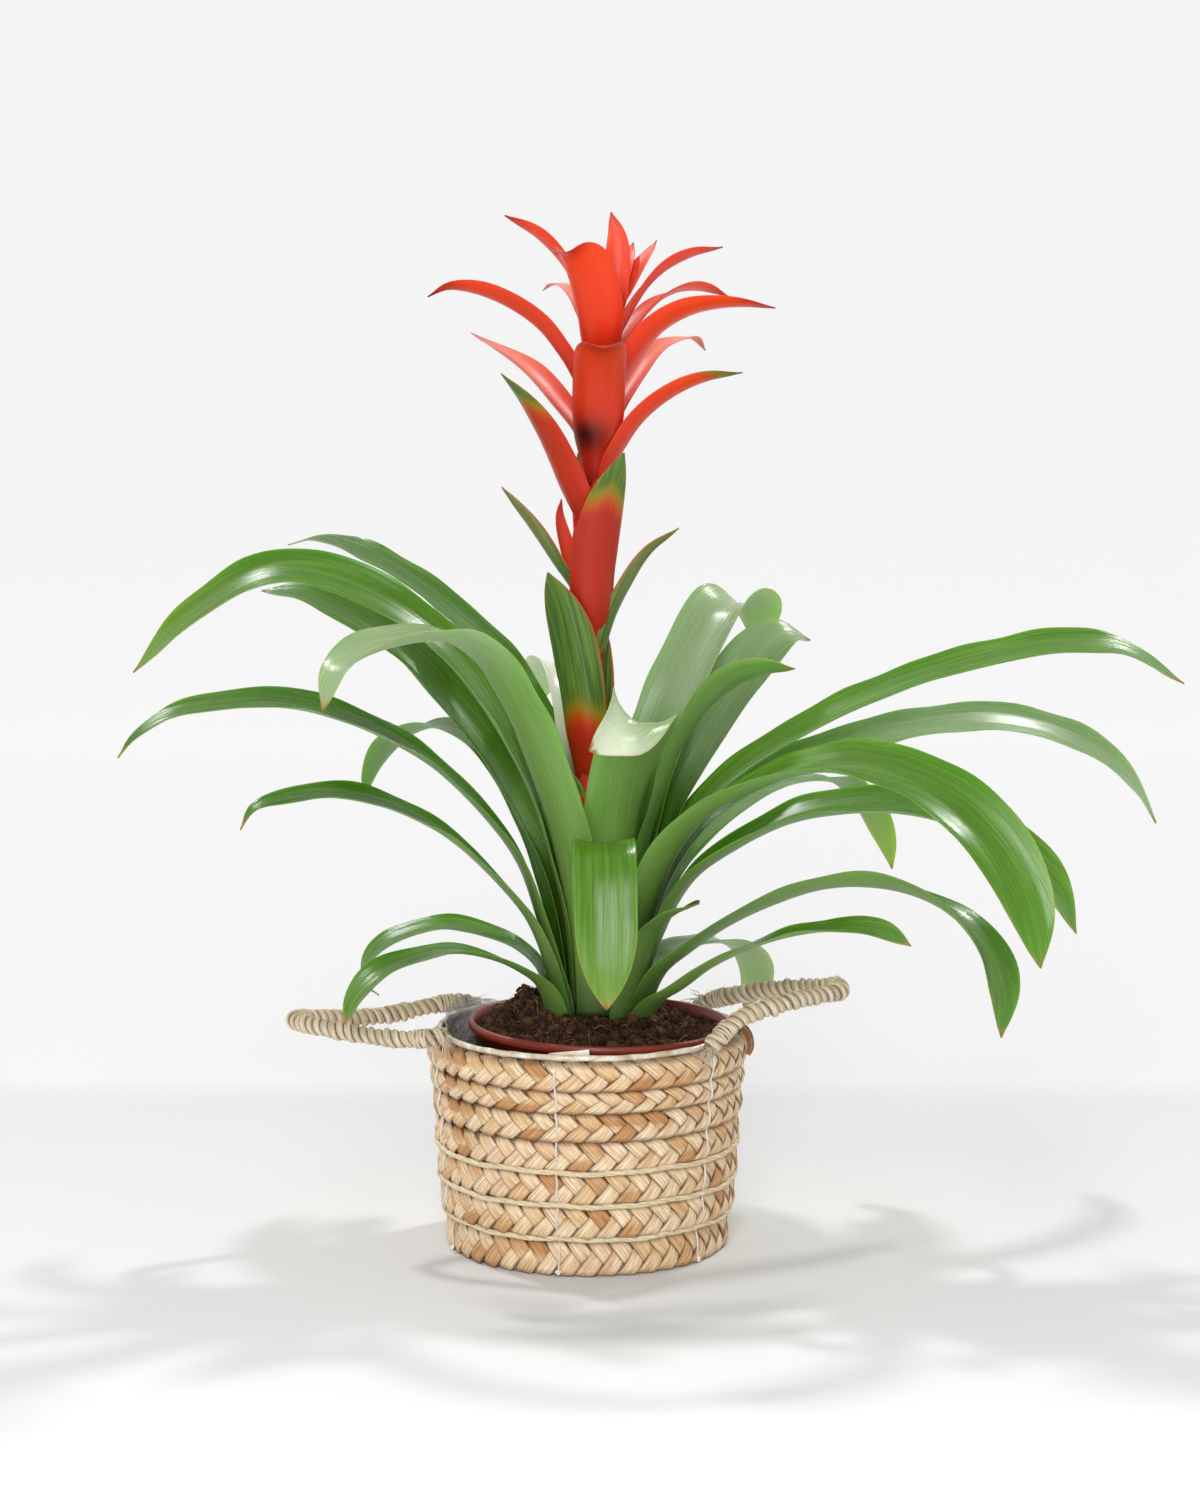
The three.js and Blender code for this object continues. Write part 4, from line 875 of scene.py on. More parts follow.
# %% Crown
# The stock is painted a very dark brown, as the shade deep among the leaf bases.
crown_finish = Recipe("shade_dark_crown")
streak = crown_finish.noise(crown_finish.solid(160), 4, 0.6)
crown_finish.finish(Base_Color=crown_finish.ramp(streak, [(0.3, "1e150b"), (0.7, "3a2c18")]), Roughness=0.6,
                    Normal=crown_finish.bump(streak, 0.5, 0.6))
hole = STEM_RADIUS + 0.5
stock = [(0.6, 78), (8, 79), (13, 92), (15, 99), (29.2, 108.6), CROWN_EDGE, (28.6, 110.3), (20, 115),
         (12, 119.3), CROWN_NECK, (hole, 121.4), (hole, 107.7), (0.6, 107.7)]
points, faces, uv = turned(stock, sides=64)
crown = piece("crown_stock", points + [PLANT_X, 0, 0], faces, crown_finish.material, "crown", "crown", uv)
print("crown:", len(crown.data.polygons), "faces")

# %% Pot
pot_finish = Recipe("terracotta_plastic")
grain = pot_finish.noise(pot_finish.solid(900), 2, 0.5)
dust = pot_finish.noise(pot_finish.solid(45), 4, 0.6)
lip_colour = pot_finish.mix(pot_finish.remap(dust, 0.45, 0.75, 0, 0.5), colour("7e2614"), colour("541a0e"))
pot_finish.finish(Base_Color=lip_colour, Roughness=pot_finish.remap(dust, 0.3, 0.7, 0.34, 0.55),
                  Normal=pot_finish.bump(grain, 0.06, 0.5), Specular_IOR_Level=0.5)
lip_wall = wall_radius(LIP_BOTTOM)
pot_profile = [(0.5, POT_BASE), (POT_BASE_RADIUS - 2, POT_BASE), (POT_BASE_RADIUS - 0.6, POT_BASE + 0.6),
               (POT_BASE_RADIUS, POT_BASE + 2), (wall_radius(POT_MIDDLE), POT_MIDDLE),
               (lip_wall, LIP_BOTTOM), (POT_RIM_RADIUS - 0.3, LIP_BOTTOM),
               (POT_RIM_RADIUS, LIP_BOTTOM + 0.4), (POT_RIM_RADIUS, POT_RIM_TOP - 0.7),
               (POT_RIM_RADIUS - 0.6, POT_RIM_TOP),
               (POT_RIM_RADIUS - 1.9, POT_RIM_TOP), (POT_RIM_RADIUS - 2.5, POT_RIM_TOP - 0.6),
               (lip_wall - POT_WALL, LIP_BOTTOM), (wall_radius(POT_MIDDLE) - POT_WALL, POT_MIDDLE),
               (wall_radius(POT_FLOOR) - POT_WALL, POT_FLOOR), (0.5, POT_FLOOR)]
points, faces, uv = turned(pot_profile, sides=120)
pot = piece("pot_shell", leaned(points), faces, pot_finish.material, "pot_plastic", "nursery_pot", uv)
print("pot:", len(pot.data.polygons), "faces")


# %% [markdown]
# The drain holes go right through the pot's floor. Punching them out of the grid would need a
# special grid, so plugs are cut out with a Boolean, and the result is kept as plain mesh.

# %% Drain holes
def cut(obj, cutter):
    """Takes the cutter out of the piece with a Boolean, and keeps the result as plain mesh."""
    modifier = obj.modifiers.new("holes", "BOOLEAN")
    modifier.object = cutter
    modifier.solver = "EXACT"
    shown = obj.evaluated_get(bpy.context.evaluated_depsgraph_get())
    result = bpy.data.meshes.new_from_object(shown)
    obj.modifiers.clear()
    obj.data = result
    bpy.data.objects.remove(cutter)


DRAIN_HOLES = 6
HOLE_RADIUS = 4
HOLE_CIRCLE = 32
plug_profile = [(0.01, POT_BASE - 3), (HOLE_RADIUS, POT_BASE - 3), (HOLE_RADIUS, POT_BASE + 6),
                (0.01, POT_BASE + 6)]
plug, faces, _ = turned(plug_profile, sides=20)
around = 2 * np.pi * np.arange(DRAIN_HOLES) / DRAIN_HOLES
places = HOLE_CIRCLE * np.stack([np.cos(around), np.sin(around), 0 * around], -1)
plugs = plug.reshape(1, -1, 3) + places[:, None]
plug_faces = [f + k * plugs.shape[1] for k in range(DRAIN_HOLES) for f in faces]
cut(pot, mesh_object("plugs", leaned(plugs), plug_faces))
print("pot with", DRAIN_HOLES, "drain holes:", len(pot.data.polygons), "faces")

# %% [markdown]
# ## Coir
#
# Houseplant soil is coir and peat: dark, moist and crumbly, with stray fibres. A bump map alone
# would leave it flat where the low light rakes across it. So the heap itself is a polar grid with
# lumps at several sizes, and hundreds of crumbs and fibres of only a few faces each lie on it.

# %% Coir finishes
def coir_finish():
    """A coarse noise picks the brown. A crumb's own tone, squared, lifts it towards a lighter one."""
    r = Recipe("moist_coir")
    coarse_mix = r.noise(r.solid(260), 5, 0.65)
    fleck = r.noise(r.solid(1500), 2, 0.5)
    soil = r.ramp(coarse_mix, [(0.34, "0e0805"), (0.5, "2a190e"), (0.63, "4a2d1b"), (0.78, "886240")])
    tone = r.field("tone")
    lifted = r.mix(r.math("MULTIPLY", tone, tone), soil, colour("6c472b"))
    return r.finish(Base_Color=lifted, Roughness=0.92, Specular_IOR_Level=0.25,
                    Normal=r.bump(r.plus(coarse_mix, fleck, 0.5), 1.2, 0.9))


def fibre_finish():
    """One brown for each fibre, picked by its tone."""
    r = Recipe("coir_fibre")
    shade = r.ramp(r.field("tone"), [(0.0, "2c1a0e"), (0.4, "62402a"), (0.8, "94693f"), (1.0, "c09866")])
    return r.finish(Base_Color=shade, Roughness=0.8, Specular_IOR_Level=0.3)


COIR_FINISH = coir_finish()
print("coir finishes ready")

# %% Soil heap
SOIL_RIM = POT_RIM_TOP - 4.5
SOIL_RADIUS = 60.6
SOIL_HOLE = 12
SOIL_FLOOR = 60
WALL_RADIUS = 61
HEAP_SIDES = 270
coarse, middle, small = random_heights(11), random_heights(12), random_heights(13)


def coir_height(x, y):
    """Height of the coir over a point of the pot: the CAD model's heap and lumps, piled a little
    higher round the crown, plus three sizes of random lumps that die away at the pot's wall."""
    radius, angle = np.hypot(x, y), np.arctan2(y, x)
    heap = 4.5 * ease(WALL_RADIUS - radius, 0, 30) + 11 * np.exp(-(((radius - 44) / 11) ** 2)) * np.maximum(
        np.cos(angle - 2.4), 0) ** 2
    lumps = (1.5 * np.sin(3 * angle + 0.6) * np.sin(radius / 5) + 1.1 * np.sin(7 * angle + radius / 3)
             + 0.8 * np.cos(11 * angle - radius / 2))
    heap = heap + 3.5 * ease(42 - radius, 0, 14)
    crumble = 3.2 * coarse(x / 9, y / 9) + 1.8 * middle(x / 4.1, y / 4.1) + 0.9 * small(x / 1.7, y / 1.7)
    return SOIL_RIM + heap + (lumps + crumble) * ease(WALL_RADIUS - radius, -4, 10)


def soil_heap():
    """The heap as a polar grid under coir_height, closed by a skirt and a floor inside the pot."""
    angle = 2 * np.pi * np.arange(HEAP_SIDES) / HEAP_SIDES
    radius = np.concatenate([np.linspace(SOIL_HOLE, SOIL_RADIUS, 90), [SOIL_RADIUS, 54, SOIL_HOLE]])
    radius = radius[:, None]
    x, y = radius * np.cos(angle), radius * np.sin(angle)
    z = coir_height(x, y)
    z[-3:] = [[SOIL_RIM - 6], [SOIL_FLOOR], [SOIL_FLOOR]]
    faces = grid_faces(len(radius), HEAP_SIDES, round_rows=True, round_cols=True)[:, ::-1]
    return np.stack([x, y, z], -1), [faces]


points, faces = soil_heap()
piece("coir_heap", leaned(points), faces, COIR_FINISH, "coir", "soil", tone=np.zeros(points.size // 3))
print("coir heap:", len(faces[0]), "faces")


# %% Crumbs
def scatter(count, seed, reach):
    """Random places on the heap, evenly by area, with their heights."""
    luck = np.random.default_rng(seed)
    radius = reach * np.sqrt(luck.uniform(0.15, 1, count))
    angle = luck.uniform(0, 2 * np.pi, count)
    x, y = radius * np.cos(angle), radius * np.sin(angle)
    return luck, np.stack([x, y, coir_height(x, y)], -1)


def crumbs(count, seed):
    """Crumbs: rings of a small ball, each point pushed in or out at random."""
    luck, places = scatter(count, seed, 58)
    lift = np.radians([-62, -20, 20, 62])
    turn = 2 * np.pi * np.arange(6) / 6
    rings, sides = len(lift), len(turn)
    ball = np.stack([np.cos(lift)[:, None] * np.cos(turn), np.cos(lift)[:, None] * np.sin(turn),
                     np.broadcast_to(np.sin(lift)[:, None], (rings, sides))], -1)
    size = luck.gamma(1.7, 0.62, (count, 1, 1, 1)).clip(0.35, 3.4)
    stretch = luck.uniform(0.6, 1.3, (count, 1, 1, 3))
    lumps = ball[None] * size * stretch * luck.uniform(0.75, 1.2, (count, rings, sides, 1))
    points = places[:, None, None] + lumps + [0, 0, 0.2]
    return points, many_tubes(count, rings, sides), luck.uniform(0, 1, count).repeat(rings * sides)


CRUMBS = 1500
points, faces, tones = crumbs(CRUMBS, 21)
piece("coir_crumbs", leaned(points), faces, COIR_FINISH, "coir", "soil", tone=tones * 0.9)
print("crumbs:", CRUMBS)


# %% Fibres
def fibres(count, seed):
    """Fibres: a three-sided thread along a bent line that starts on the heap and lies along it."""
    luck, places = scatter(count, seed, 56)
    way = luck.uniform(0, 2 * np.pi, count)[:, None]
    bend = luck.uniform(-1.4, 1.4, (count, 1))
    length = luck.uniform(4, 17, (count, 1))
    u = np.linspace(0, 1, 7)[None]
    x = places[:, :1] + length * u * np.cos(way + bend * u)
    y = places[:, 1:2] + length * u * np.sin(way + bend * u)
    fit = 57 / np.maximum(np.hypot(x, y), 57)
    x, y = x * fit, y * fit
    rise = luck.uniform(0.1, 1.5, (count, 1)) * np.sin(np.pi * u) + 0.3
    line = np.stack([x, y, coir_height(x, y) + rise], -1)
    thick = (luck.uniform(0.08, 0.22, (count, 1)) * (1 - 0.6 * u))[..., None, None]
    turn = 2 * np.pi * np.arange(3) / 3
    sway = np.stack([-np.sin(way), np.cos(way), np.zeros_like(way)], -1)[:, :, None]
    ring = np.cos(turn)[:, None] * sway + np.sin(turn)[:, None] * np.array([0, 0, 1.0])
    points = line[:, :, None] + thick * ring
    return points, many_tubes(count, u.size, len(turn)), luck.uniform(0, 1, count).repeat(u.size * len(turn))


FIBRES = 700
points, faces, tones = fibres(FIBRES, 22)
piece("coir_fibres", leaned(points), faces, fibre_finish(), "coir", "soil", tone=tones)
print("fibres:", FIBRES)

# %% [markdown]
# ## Straw finish
#
# Dried water hyacinth is a flattened stalk: straw coloured, with fine fibres along it, brown
# stains and darker folded edges, and painted shade darkens the gaps between pieces. No two pieces
# of a plait have the same colour, so every visible piece between two crossings gets a tone of its
# own as a point field. The fibres follow the strand through its UV map, which runs in centimetres
# along the strand.

# %% Straw material
def straw_finish(name, light, middle, dark, line):
    """Each visible piece's tone picks its straw colour. Darker fibres along the strand, stains and
    specks are mixed in, and the field edge draws a dark line along the folds: partly the straw's
    darker folded edge, partly painted shade in the gaps."""
    r = Recipe(name)
    fibre = r.noise(r.uv(15, 0.8), 4, 0.62)
    stain = r.noise(r.solid(55), 4, 0.6)
    speck = r.noise(r.uv(5, 2.4, 7.7), 3, 0.6)
    tone, edge = r.field("tone"), r.field("edge")
    base = r.ramp(tone, [(0.0, dark), (0.07, dark), (0.25, middle), (0.6, light), (1.0, light)])
    base = r.mix(r.remap(fibre, 0.38, 0.62, 0.9, 0), base, r.mix(1.0, base, colour("c9a67e"), "MULTIPLY"))
    base = r.mix(r.remap(stain, 0.5, 0.72, 0, 0.5), base, colour("cc9d76"))
    base = r.mix(r.remap(speck, 0.62, 0.8, 0, 0.4), base, colour("a3744c"))
    # The dark line is partly the straw's folded edge, partly painted shade in the gaps.
    base = r.mix(r.math("MULTIPLY", r.remap(edge, 0.8, 1.0), 0.9), base, colour(line))
    return r.finish(Base_Color=base, Roughness=r.remap(fibre, 0.3, 0.7, 0.38, 0.6), Specular_IOR_Level=0.4,
                    Normal=r.bump(r.plus(fibre, speck, 0.6), 0.45, 0.9))


STRAW = straw_finish("water_hyacinth", "faeacb", "edd0a3", "cd9e6a", "573217")
STRAW_DARK = straw_finish("dark_straw_end", "bb8650", "98653a", "744727", "33190c")
print("straw finishes ready")

# %% [markdown]
# ## The plait
#
# Each row of the basket is a flat plait of three ribbons. Seen from its face, a ribbon runs
# straight from edge to edge, folds over the row's edge there, and is on top in the middle of each
# run. So its middle line is a zigzag across the row and a wave of twice the pace through it, with
# the ribbons a third of a turn apart. The plait is made lying flat first, where the fold round an
# edge is easy to write, and then it is bent into a ring or a spiral. Building the true crossing
# gives the chevrons, their shadows and both faces at once, from every side.

# %% Sizes of the rows
ROW_TOPS = [19, 36, 52.5, 67.5, 81.5, 92.5, 106]
FOOT_ROW_RADIUS = 70.2
SECOND_ROW_RADIUS = 73.4
ROW_FLARE = 1.2
ROW_OVERLAP = 1.3
ROW_HALF_THICK = 3.3
ROW_INSET = 2.5
ROW_STAGGER = 0.13
PERIODS = 14
STEPS_A_PERIOD = 28
RIBBON_SIDES = 14


def row_radius(row):
    """Outer radius of a row: the foot row is drawn in, and each higher one is a little wider."""
    return FOOT_ROW_RADIUS if row == 0 else SECOND_ROW_RADIUS + ROW_FLARE * (row - 1)


print("rim of the basket:", round(2 * row_radius(len(ROW_TOPS) - 1)), "mm across")


# %% A flat plait
def by_piece(values, phase):
    """A value for each half swing of a ribbon, eased from one to the next where it dives under."""
    place = phase / np.pi - 0.5
    i = np.floor(place).astype(int)
    share = ease(place - i, 0.35, 0.65)
    n = len(values)
    return values[i % n] * (1 - share) + values[(i + 1) % n] * share


def flat_plait(length, periods, tall, half_thick, steps, seed, closed):
    """Three ribbons of a plait that lies along x, with y across it and z out of its face.

    Each is a straight band folded over at the row's two edges. With q the angle along the band and
    w the angle across it, the middle surface of ribbon k is x = length (q + w - 2 pi k / 3) / (2 pi
    periods), y = fold(q) tall / 2 and z = 0.4 half_thick flat(-sin(2 q + w)). Here fold is a triangle
    wave with rounded corners and flat(v) = tanh 1.5 v / tanh 1.5. This z keeps one ribbon above the
    other over the whole of a crossing. The thickness is laid off along the surface's normal."""
    luck = np.random.default_rng(seed)
    lead = 0.0 if closed else 2 * np.pi
    g = 2 * np.pi * periods * np.arange(steps) / (steps if closed else steps - 1)
    q = (g - 0.15 * np.sin(4 * g))[:, None]
    turn = 2 * np.pi * np.arange(RIBBON_SIDES) / RIBBON_SIDES
    through, across = (np.sign(f) * np.abs(f) ** 0.75 for f in (np.cos(turn), np.sin(turn)))
    reach = tall / 2 - 0.2 * half_thick
    parts = []
    for k in range(3):
        n = 2 * periods
        fat, thin, tone, slip, out = (luck.uniform(low, high, n) for low, high in (
            (0.97, 1.1), (0.8, 1.15), (0.0, 1.0), (-0.03, 0.03), (-0.1, 0.1)))
        w = np.radians(59) * by_piece(fat, q) * across

        def surface(q):
            """The band's place across the row, and out of its face."""
            fold = np.arcsin(0.995 * np.sin(q)) / np.arcsin(0.995)
            rise = np.tanh(-1.5 * np.sin(2 * q + w)) / np.tanh(1.5)
            across_row = reach * (1 + by_piece(slip, q)) * fold + 0 * w
            return across_row, half_thick * (0.4 * rise + by_piece(out, q))

        y, z = surface(q)
        ahead, behind = surface(q + 0.03), surface(q - 0.03)
        normal = unit(np.stack([behind[1] - ahead[1], ahead[0] - behind[0]], -1))
        wrinkle = 0.05 * np.sin(5 * turn + 3 * np.sin(q)) * np.sign(through)
        depth = half_thick * (0.34 * by_piece(thin, q) * through + wrinkle)
        x = length * (q + w - 2 * np.pi * k / 3 + lead) / (2 * np.pi * periods + 1.5 * lead)
        points = np.stack([x, y + depth * normal[..., 0], z + depth * normal[..., 1]], -1)
        uv = np.stack(np.broadcast_arrays(across * 0.4 + 3.7 * k, q * 0.7), -1)
        fields = {"tone": np.repeat(by_piece(tone, q[:, 0]), RIBBON_SIDES),
                  "edge": np.broadcast_to(np.abs(across), w.shape).ravel()}
        parts.append((points, tube_faces(steps, RIBBON_SIDES, closed), uv, fields))
    return parts


print("ribbons in a plait:", len(flat_plait(100, 2, 15, 3.3, 60, 0, closed=True)))


# %% Rows of the basket
def basket_row(row):
    """A flat plait bent into a ring: x turns into the angle, y into the height, z into the radius. The
    row leans out at its foot by 0.08 y and draws in at its two edges by 2 (2 y / tall)^4. The folds
    near an edge get a darker field, because dust and shade gather in the groove there."""
    bottom = 0 if row == 0 else ROW_TOPS[row - 1]
    tall = ROW_TOPS[row] - bottom
    outside = row_radius(row)
    parts = flat_plait(2 * np.pi * outside, PERIODS, tall + ROW_OVERLAP, ROW_HALF_THICK,
                       PERIODS * STEPS_A_PERIOD, 40 + row, closed=True)
    bent = []
    for flat, faces, uv, fields in parts:
        angle = flat[..., 0] / outside + ROW_STAGGER * row
        r = outside - ROW_INSET + flat[..., 2] - 0.08 * flat[..., 1] - 2 * (2 * flat[..., 1] / tall) ** 4
        z = np.maximum(bottom + tall / 2 + flat[..., 1], 0.05)
        ring = np.stack([r * np.cos(angle), r * np.sin(angle), z], -1)
        groove = 0.8 + 0.14 * ease(np.abs(2 * flat[..., 1] / tall), 0.75, 1)
        bent.append((ring, faces, uv, {**fields, "edge": np.maximum(fields["edge"], groove.ravel())}))
    return bent


row_total = 0
for row in range(len(ROW_TOPS)):
    made = joined_piece(f"plait_row_{row + 1}", basket_row(row), STRAW, "plait", "basket")
    row_total += len(made.data.polygons)
print("plaited rows:", len(ROW_TOPS), "with", row_total, "faces")

# %% Bottom of the basket
SPIRAL_START = 4.5
SPIRAL_PITCH = 12.6
SPIRAL_TURNS = 4.1
BOTTOM_THICK = 5.0


def bottom_spiral():
    """A flat plait bent into a spiral: at an angle a its middle is at start + pitch a / 2 pi."""
    angles = np.linspace(0, 2 * np.pi * SPIRAL_TURNS, 2000)
    radii = SPIRAL_START + SPIRAL_PITCH * angles / (2 * np.pi)
    travelled = np.concatenate([[0], np.cumsum(np.diff(angles) * radii[1:])])
    bent = []
    for flat, faces, uv, fields in flat_plait(travelled[-1], round(travelled[-1] / 30), SPIRAL_PITCH,
                                              BOTTOM_THICK / 2 - 0.1, 600, 60, closed=False):
        angle = np.interp(flat[..., 0], travelled, angles)
        r = SPIRAL_START + SPIRAL_PITCH * angle / (2 * np.pi) + flat[..., 1]
        spiral = np.stack([r * np.cos(angle), r * np.sin(angle), BOTTOM_THICK / 2 - flat[..., 2]], -1)
        bent.append((spiral, faces, uv, fields))
    return bent


joined_piece("plait_bottom", bottom_spiral(), STRAW, "plait", "basket")
print("bottom spiral turns:", SPIRAL_TURNS)

# %% [markdown]
# ## The end of the plait
#
# Where the last row finishes, the strands are tucked in and a dark curl of them sticks out at the
# right of the rim. It is four thin strands side by side, swept along the CAD model's curl, and they
# draw together towards the tip. Each has its place across the curl, its depth and its tone.

# %% Curled end
CURL_SIDES = 10
CURL_STRANDS = [(-1.9, 0.0, 0.0), (-0.6, 0.5, 0.8), (0.7, 0.35, 0.15), (1.9, -0.2, 0.6)]
tail_turn = np.radians(-7)
out, side, height = np.transpose([(74.0, 6, 107.4), (76.4, 3, 109.4), (79.2, 0, 107.6), (81.0, -2.5, 104),
                                  (81.4, -4, 100.6), (80.2, -4.5, 97.2)])
tail = spline(np.stack([out * np.cos(tail_turn) - side * np.sin(tail_turn),
                        out * np.sin(tail_turn) + side * np.cos(tail_turn), height], -1), 50)
way = np.linspace(0, 1, len(tail))
flat_side = np.tile([0.0, -1.0, 0.3], (len(tail), 1))
across = np.cross(unit(np.gradient(tail, axis=0)), unit(flat_side))
strands = []
for number, (shift, depth, tone) in enumerate(CURL_STRANDS):
    path = tail + across * (shift * (1 - 0.55 * way**2))[:, None] + flat_side * depth
    rings, faces, uv = sweep(path, flat_side, 0.72 * (1 - 0.35 * way), 0.9 * (1 - 0.3 * way), CURL_SIDES)
    # The sides of each strand are painted dark, as shade in the gaps between strands.
    edge = np.tile(np.abs(np.sin(2 * np.pi * np.arange(CURL_SIDES) / CURL_SIDES)), len(tail))
    strands.append((rings, faces, uv + number, {"tone": tone, "edge": edge}))
joined_piece("plait_end_curl", strands, STRAW_DARK, "plait_end", "plait_end")
print("curled end of", len(strands), "strands,", round(curve_length(tail)), "mm long")

# %% [markdown]
# ## Threads and cords
#
# White threads tie the rows together, and a thin cord of two plies lies in each of the three
# lower grooves. A two-ply cord is two strands wound round one line, so it takes the same sweep as
# everything else, along a helix.

# %% Helix, cord and thread
def turn_about(path, outward, radius, phase):
    """Points at a radius from a path: path + radius (n cos phase + m sin phase), with n the outward
    direction made square to the path. It also returns their own outward directions."""
    along = unit(np.gradient(path, axis=0))
    n = unit(outward - along * (outward * along).sum(-1, keepdims=True))
    m = np.cross(along, n)
    spoke = n * np.cos(phase)[:, None] + m * np.sin(phase)[:, None]
    return path + spoke * np.broadcast_to(radius, len(path))[:, None], spoke


def two_plies(line, outward, radius, phase, section, closed=False):
    """Two strands wound round a line half a turn apart. Their section is an oval's half width, its
    half depth and its number of sides."""
    plies = [turn_about(line, outward, radius, phase + start) for start in (0, np.pi)]
    return [(*sweep(path, spoke, *section, closed=closed), {}) for path, spoke in plies]


def twist_finish(name, light, dark, depth, gloss=0.8):
    """Light and dark fibres along a twisted strand, with darker clouds, and a bump of the same fibres
    up to a depth in millimetres."""
    r = Recipe(name)
    fibre = r.noise(r.uv(30, 2.2), 3, 0.6)
    cloud = r.noise(r.solid(120), 3, 0.5)
    base = r.mix(r.remap(fibre, 0.35, 0.68), colour(dark), colour(light))
    base = r.mix(r.remap(cloud, 0.5, 0.75, 0, 0.4), base, colour(dark))
    return r.finish(Base_Color=base, Roughness=gloss, Specular_IOR_Level=0.3,
                    Normal=r.bump(fibre, depth, 0.9))


CORD = twist_finish("green_straw_cord", "f6ead0", "cbb488", 0.3)
THREAD = twist_finish("white_thread", "fbf8f1", "ddd5c8", 0.08, 0.6)
print("twisted finishes:", CORD.name, THREAD.name)

# %% Cords in the grooves
GROOVE = 2.6
CORD_RADIUS = 1.2
CORD_STEPS = 560
CORD_PLY = (1.15, 0.75, 8)


def ring_cord(row):
    """Two loose plies in the groove under a row: each is a helix of radius 0.6 about the groove's
    circle, which wanders a little up and down."""
    radius = (row_radius(row - 1) + row_radius(row)) / 2 - GROOVE + CORD_RADIUS + 0.9
    a = 2 * np.pi * np.arange(CORD_STEPS) / CORD_STEPS
    circle = np.stack([np.cos(a), np.sin(a), np.zeros(CORD_STEPS)], -1)
    wander = 0.35 * np.sin(7 * a + row) + 0.25 * np.sin(17 * a)
    line = circle * radius + [0, 0, ROW_TOPS[row - 1]] + wander[:, None] * [0, 0, 1]
    return two_plies(line, circle, 0.6, 23 * a + 0.5 * np.sin(5 * a), CORD_PLY, closed=True)


CORD_ROWS = (1, 2, 3)
for row in CORD_ROWS:
    joined_piece(f"groove_cord_{row}_plies", ring_cord(row), CORD, "green_cord", f"groove_cord_{row}")
print("groove cords:", len(CORD_ROWS))

# %% Stitching threads
THREAD_HEADINGS = [-160, -101, -40, 20, 80, 140]
THREAD_TWIST = 3.2
THREAD_PLY = (0.38, 0.34, 6)


def thread_line(number, heading):
    """A thread up the outside: over the middle of each row and into the groove between two rows,
    wandering a little sideways."""
    luck = np.random.default_rng(70 + number)
    stops = [(-0.2, 2.5)]
    for row, top in enumerate(ROW_TOPS):
        bottom = 0 if row == 0 else ROW_TOPS[row - 1]
        stops += [(0.35, (bottom + top) / 2 - 2), (0.4, (bottom + top) / 2 + 2), (-0.7, top)]
    stops[-1] = (0.5, ROW_TOPS[-1] - 2.5)
    rows = np.minimum(np.searchsorted(ROW_TOPS, [z for _, z in stops]), len(ROW_TOPS) - 1)
    a = np.radians(heading + luck.uniform(-0.5, 0.5, len(stops)))
    r = np.array([row_radius(k) for k in rows]) + [out for out, _ in stops]
    return spline(np.stack([r * np.cos(a), r * np.sin(a), [z for _, z in stops]], -1), 150)


def knot(centre, outward, size):
    """A small overhand knot: a trefoil line (sin a + 2 sin 2a, cos a - 2 cos 2a, -sin 3a), scaled."""
    a = 2 * np.pi * np.arange(60) / 60
    n = unit(np.asarray(outward, float))
    m = np.array([-n[1], n[0], 0])
    flat = [np.sin(a) + 2 * np.sin(2 * a), np.cos(a) - 2 * np.cos(2 * a), -np.sin(3 * a)]
    line = centre + size / 3 * (flat[0][:, None] * m + flat[1][:, None] * [0, 0, 1] + flat[2][:, None] * n)
    rings, faces, uv = sweep(line, line - centre, 0.42, 0.42, 6, closed=True)
    return rings, faces, uv, {}


for number, heading in enumerate(THREAD_HEADINGS):
    line = thread_line(number, heading)
    out = unit(line * [1, 1, 0])
    turns = curve_length(line) / THREAD_TWIST
    parts = two_plies(line, out, 0.26, 2 * np.pi * turns * np.linspace(0, 1, len(line)), THREAD_PLY)
    parts += [knot(line[0] + out[0] * 0.6, out[0], 1.1), knot(line[-1] + out[-1] * 0.6, out[-1], 1.0)]
    joined_piece(f"stitch_{number + 1}_plies", parts, THREAD, "thread", f"stitch_thread_{number + 1}")
print("threads:", len(THREAD_HEADINGS), "each", round(curve_length(line)), "mm long")

# %% [markdown]
# ## Rope handles
#
# Each handle is a core wound closely with a flat bundle of fibres, so the rope looks like a
# spring of soft, slightly uneven turns. Two bundles are wound side by side here, because that
# gives the lean of the real turns. Loose hairs break the outline, and the ends are frayed where
# they are stitched down on the rim.

# %% Routes of the ropes
HANDLES = {
    "handle_left": [[-69, -35, 110.4], [-75, -35.5, 110.2], [-84, -33, 109], [-98, -28, 108.6],
        [-113, -22, 109.4], [-129, -15, 110.6], [-140, -6, 111], [-145, 3, 110.8], [-141, 12, 110.2],
        [-132, 18, 108.8], [-120, 24, 107.4], [-108, 30, 107], [-97, 36, 107.5], [-86, 42, 108.6],
        [-76, 46, 110], [-66, 49, 110.4], [-61, 49, 110.4]],
    "handle_right": [[58.5, -52.2, 109.6], [62, -50, 111.6], [68, -45, 117], [77, -38, 121.5],
        [91, -30, 124.5], [104, -22, 126.5], [117, -13, 127], [125, -3, 127], [124, 8, 127],
        [113, 18, 124.5], [100, 26, 122.5], [87, 34, 119.5], [77, 40, 116.5], [68, 46, 113.5],
        [62, 50, 111], [59, 52.2, 109.6]],
}
WRAP_GAP = 4.3
WRAP_OUT = 2.6
CORE_RADIUS = 2.9
BUNDLE_WIDE = 2.05
BUNDLE_DEEP = 2.0
BUNDLE_SIDES = 12
ROPE_RADIUS = 4.1
BINDING_RADIUS = 4.4
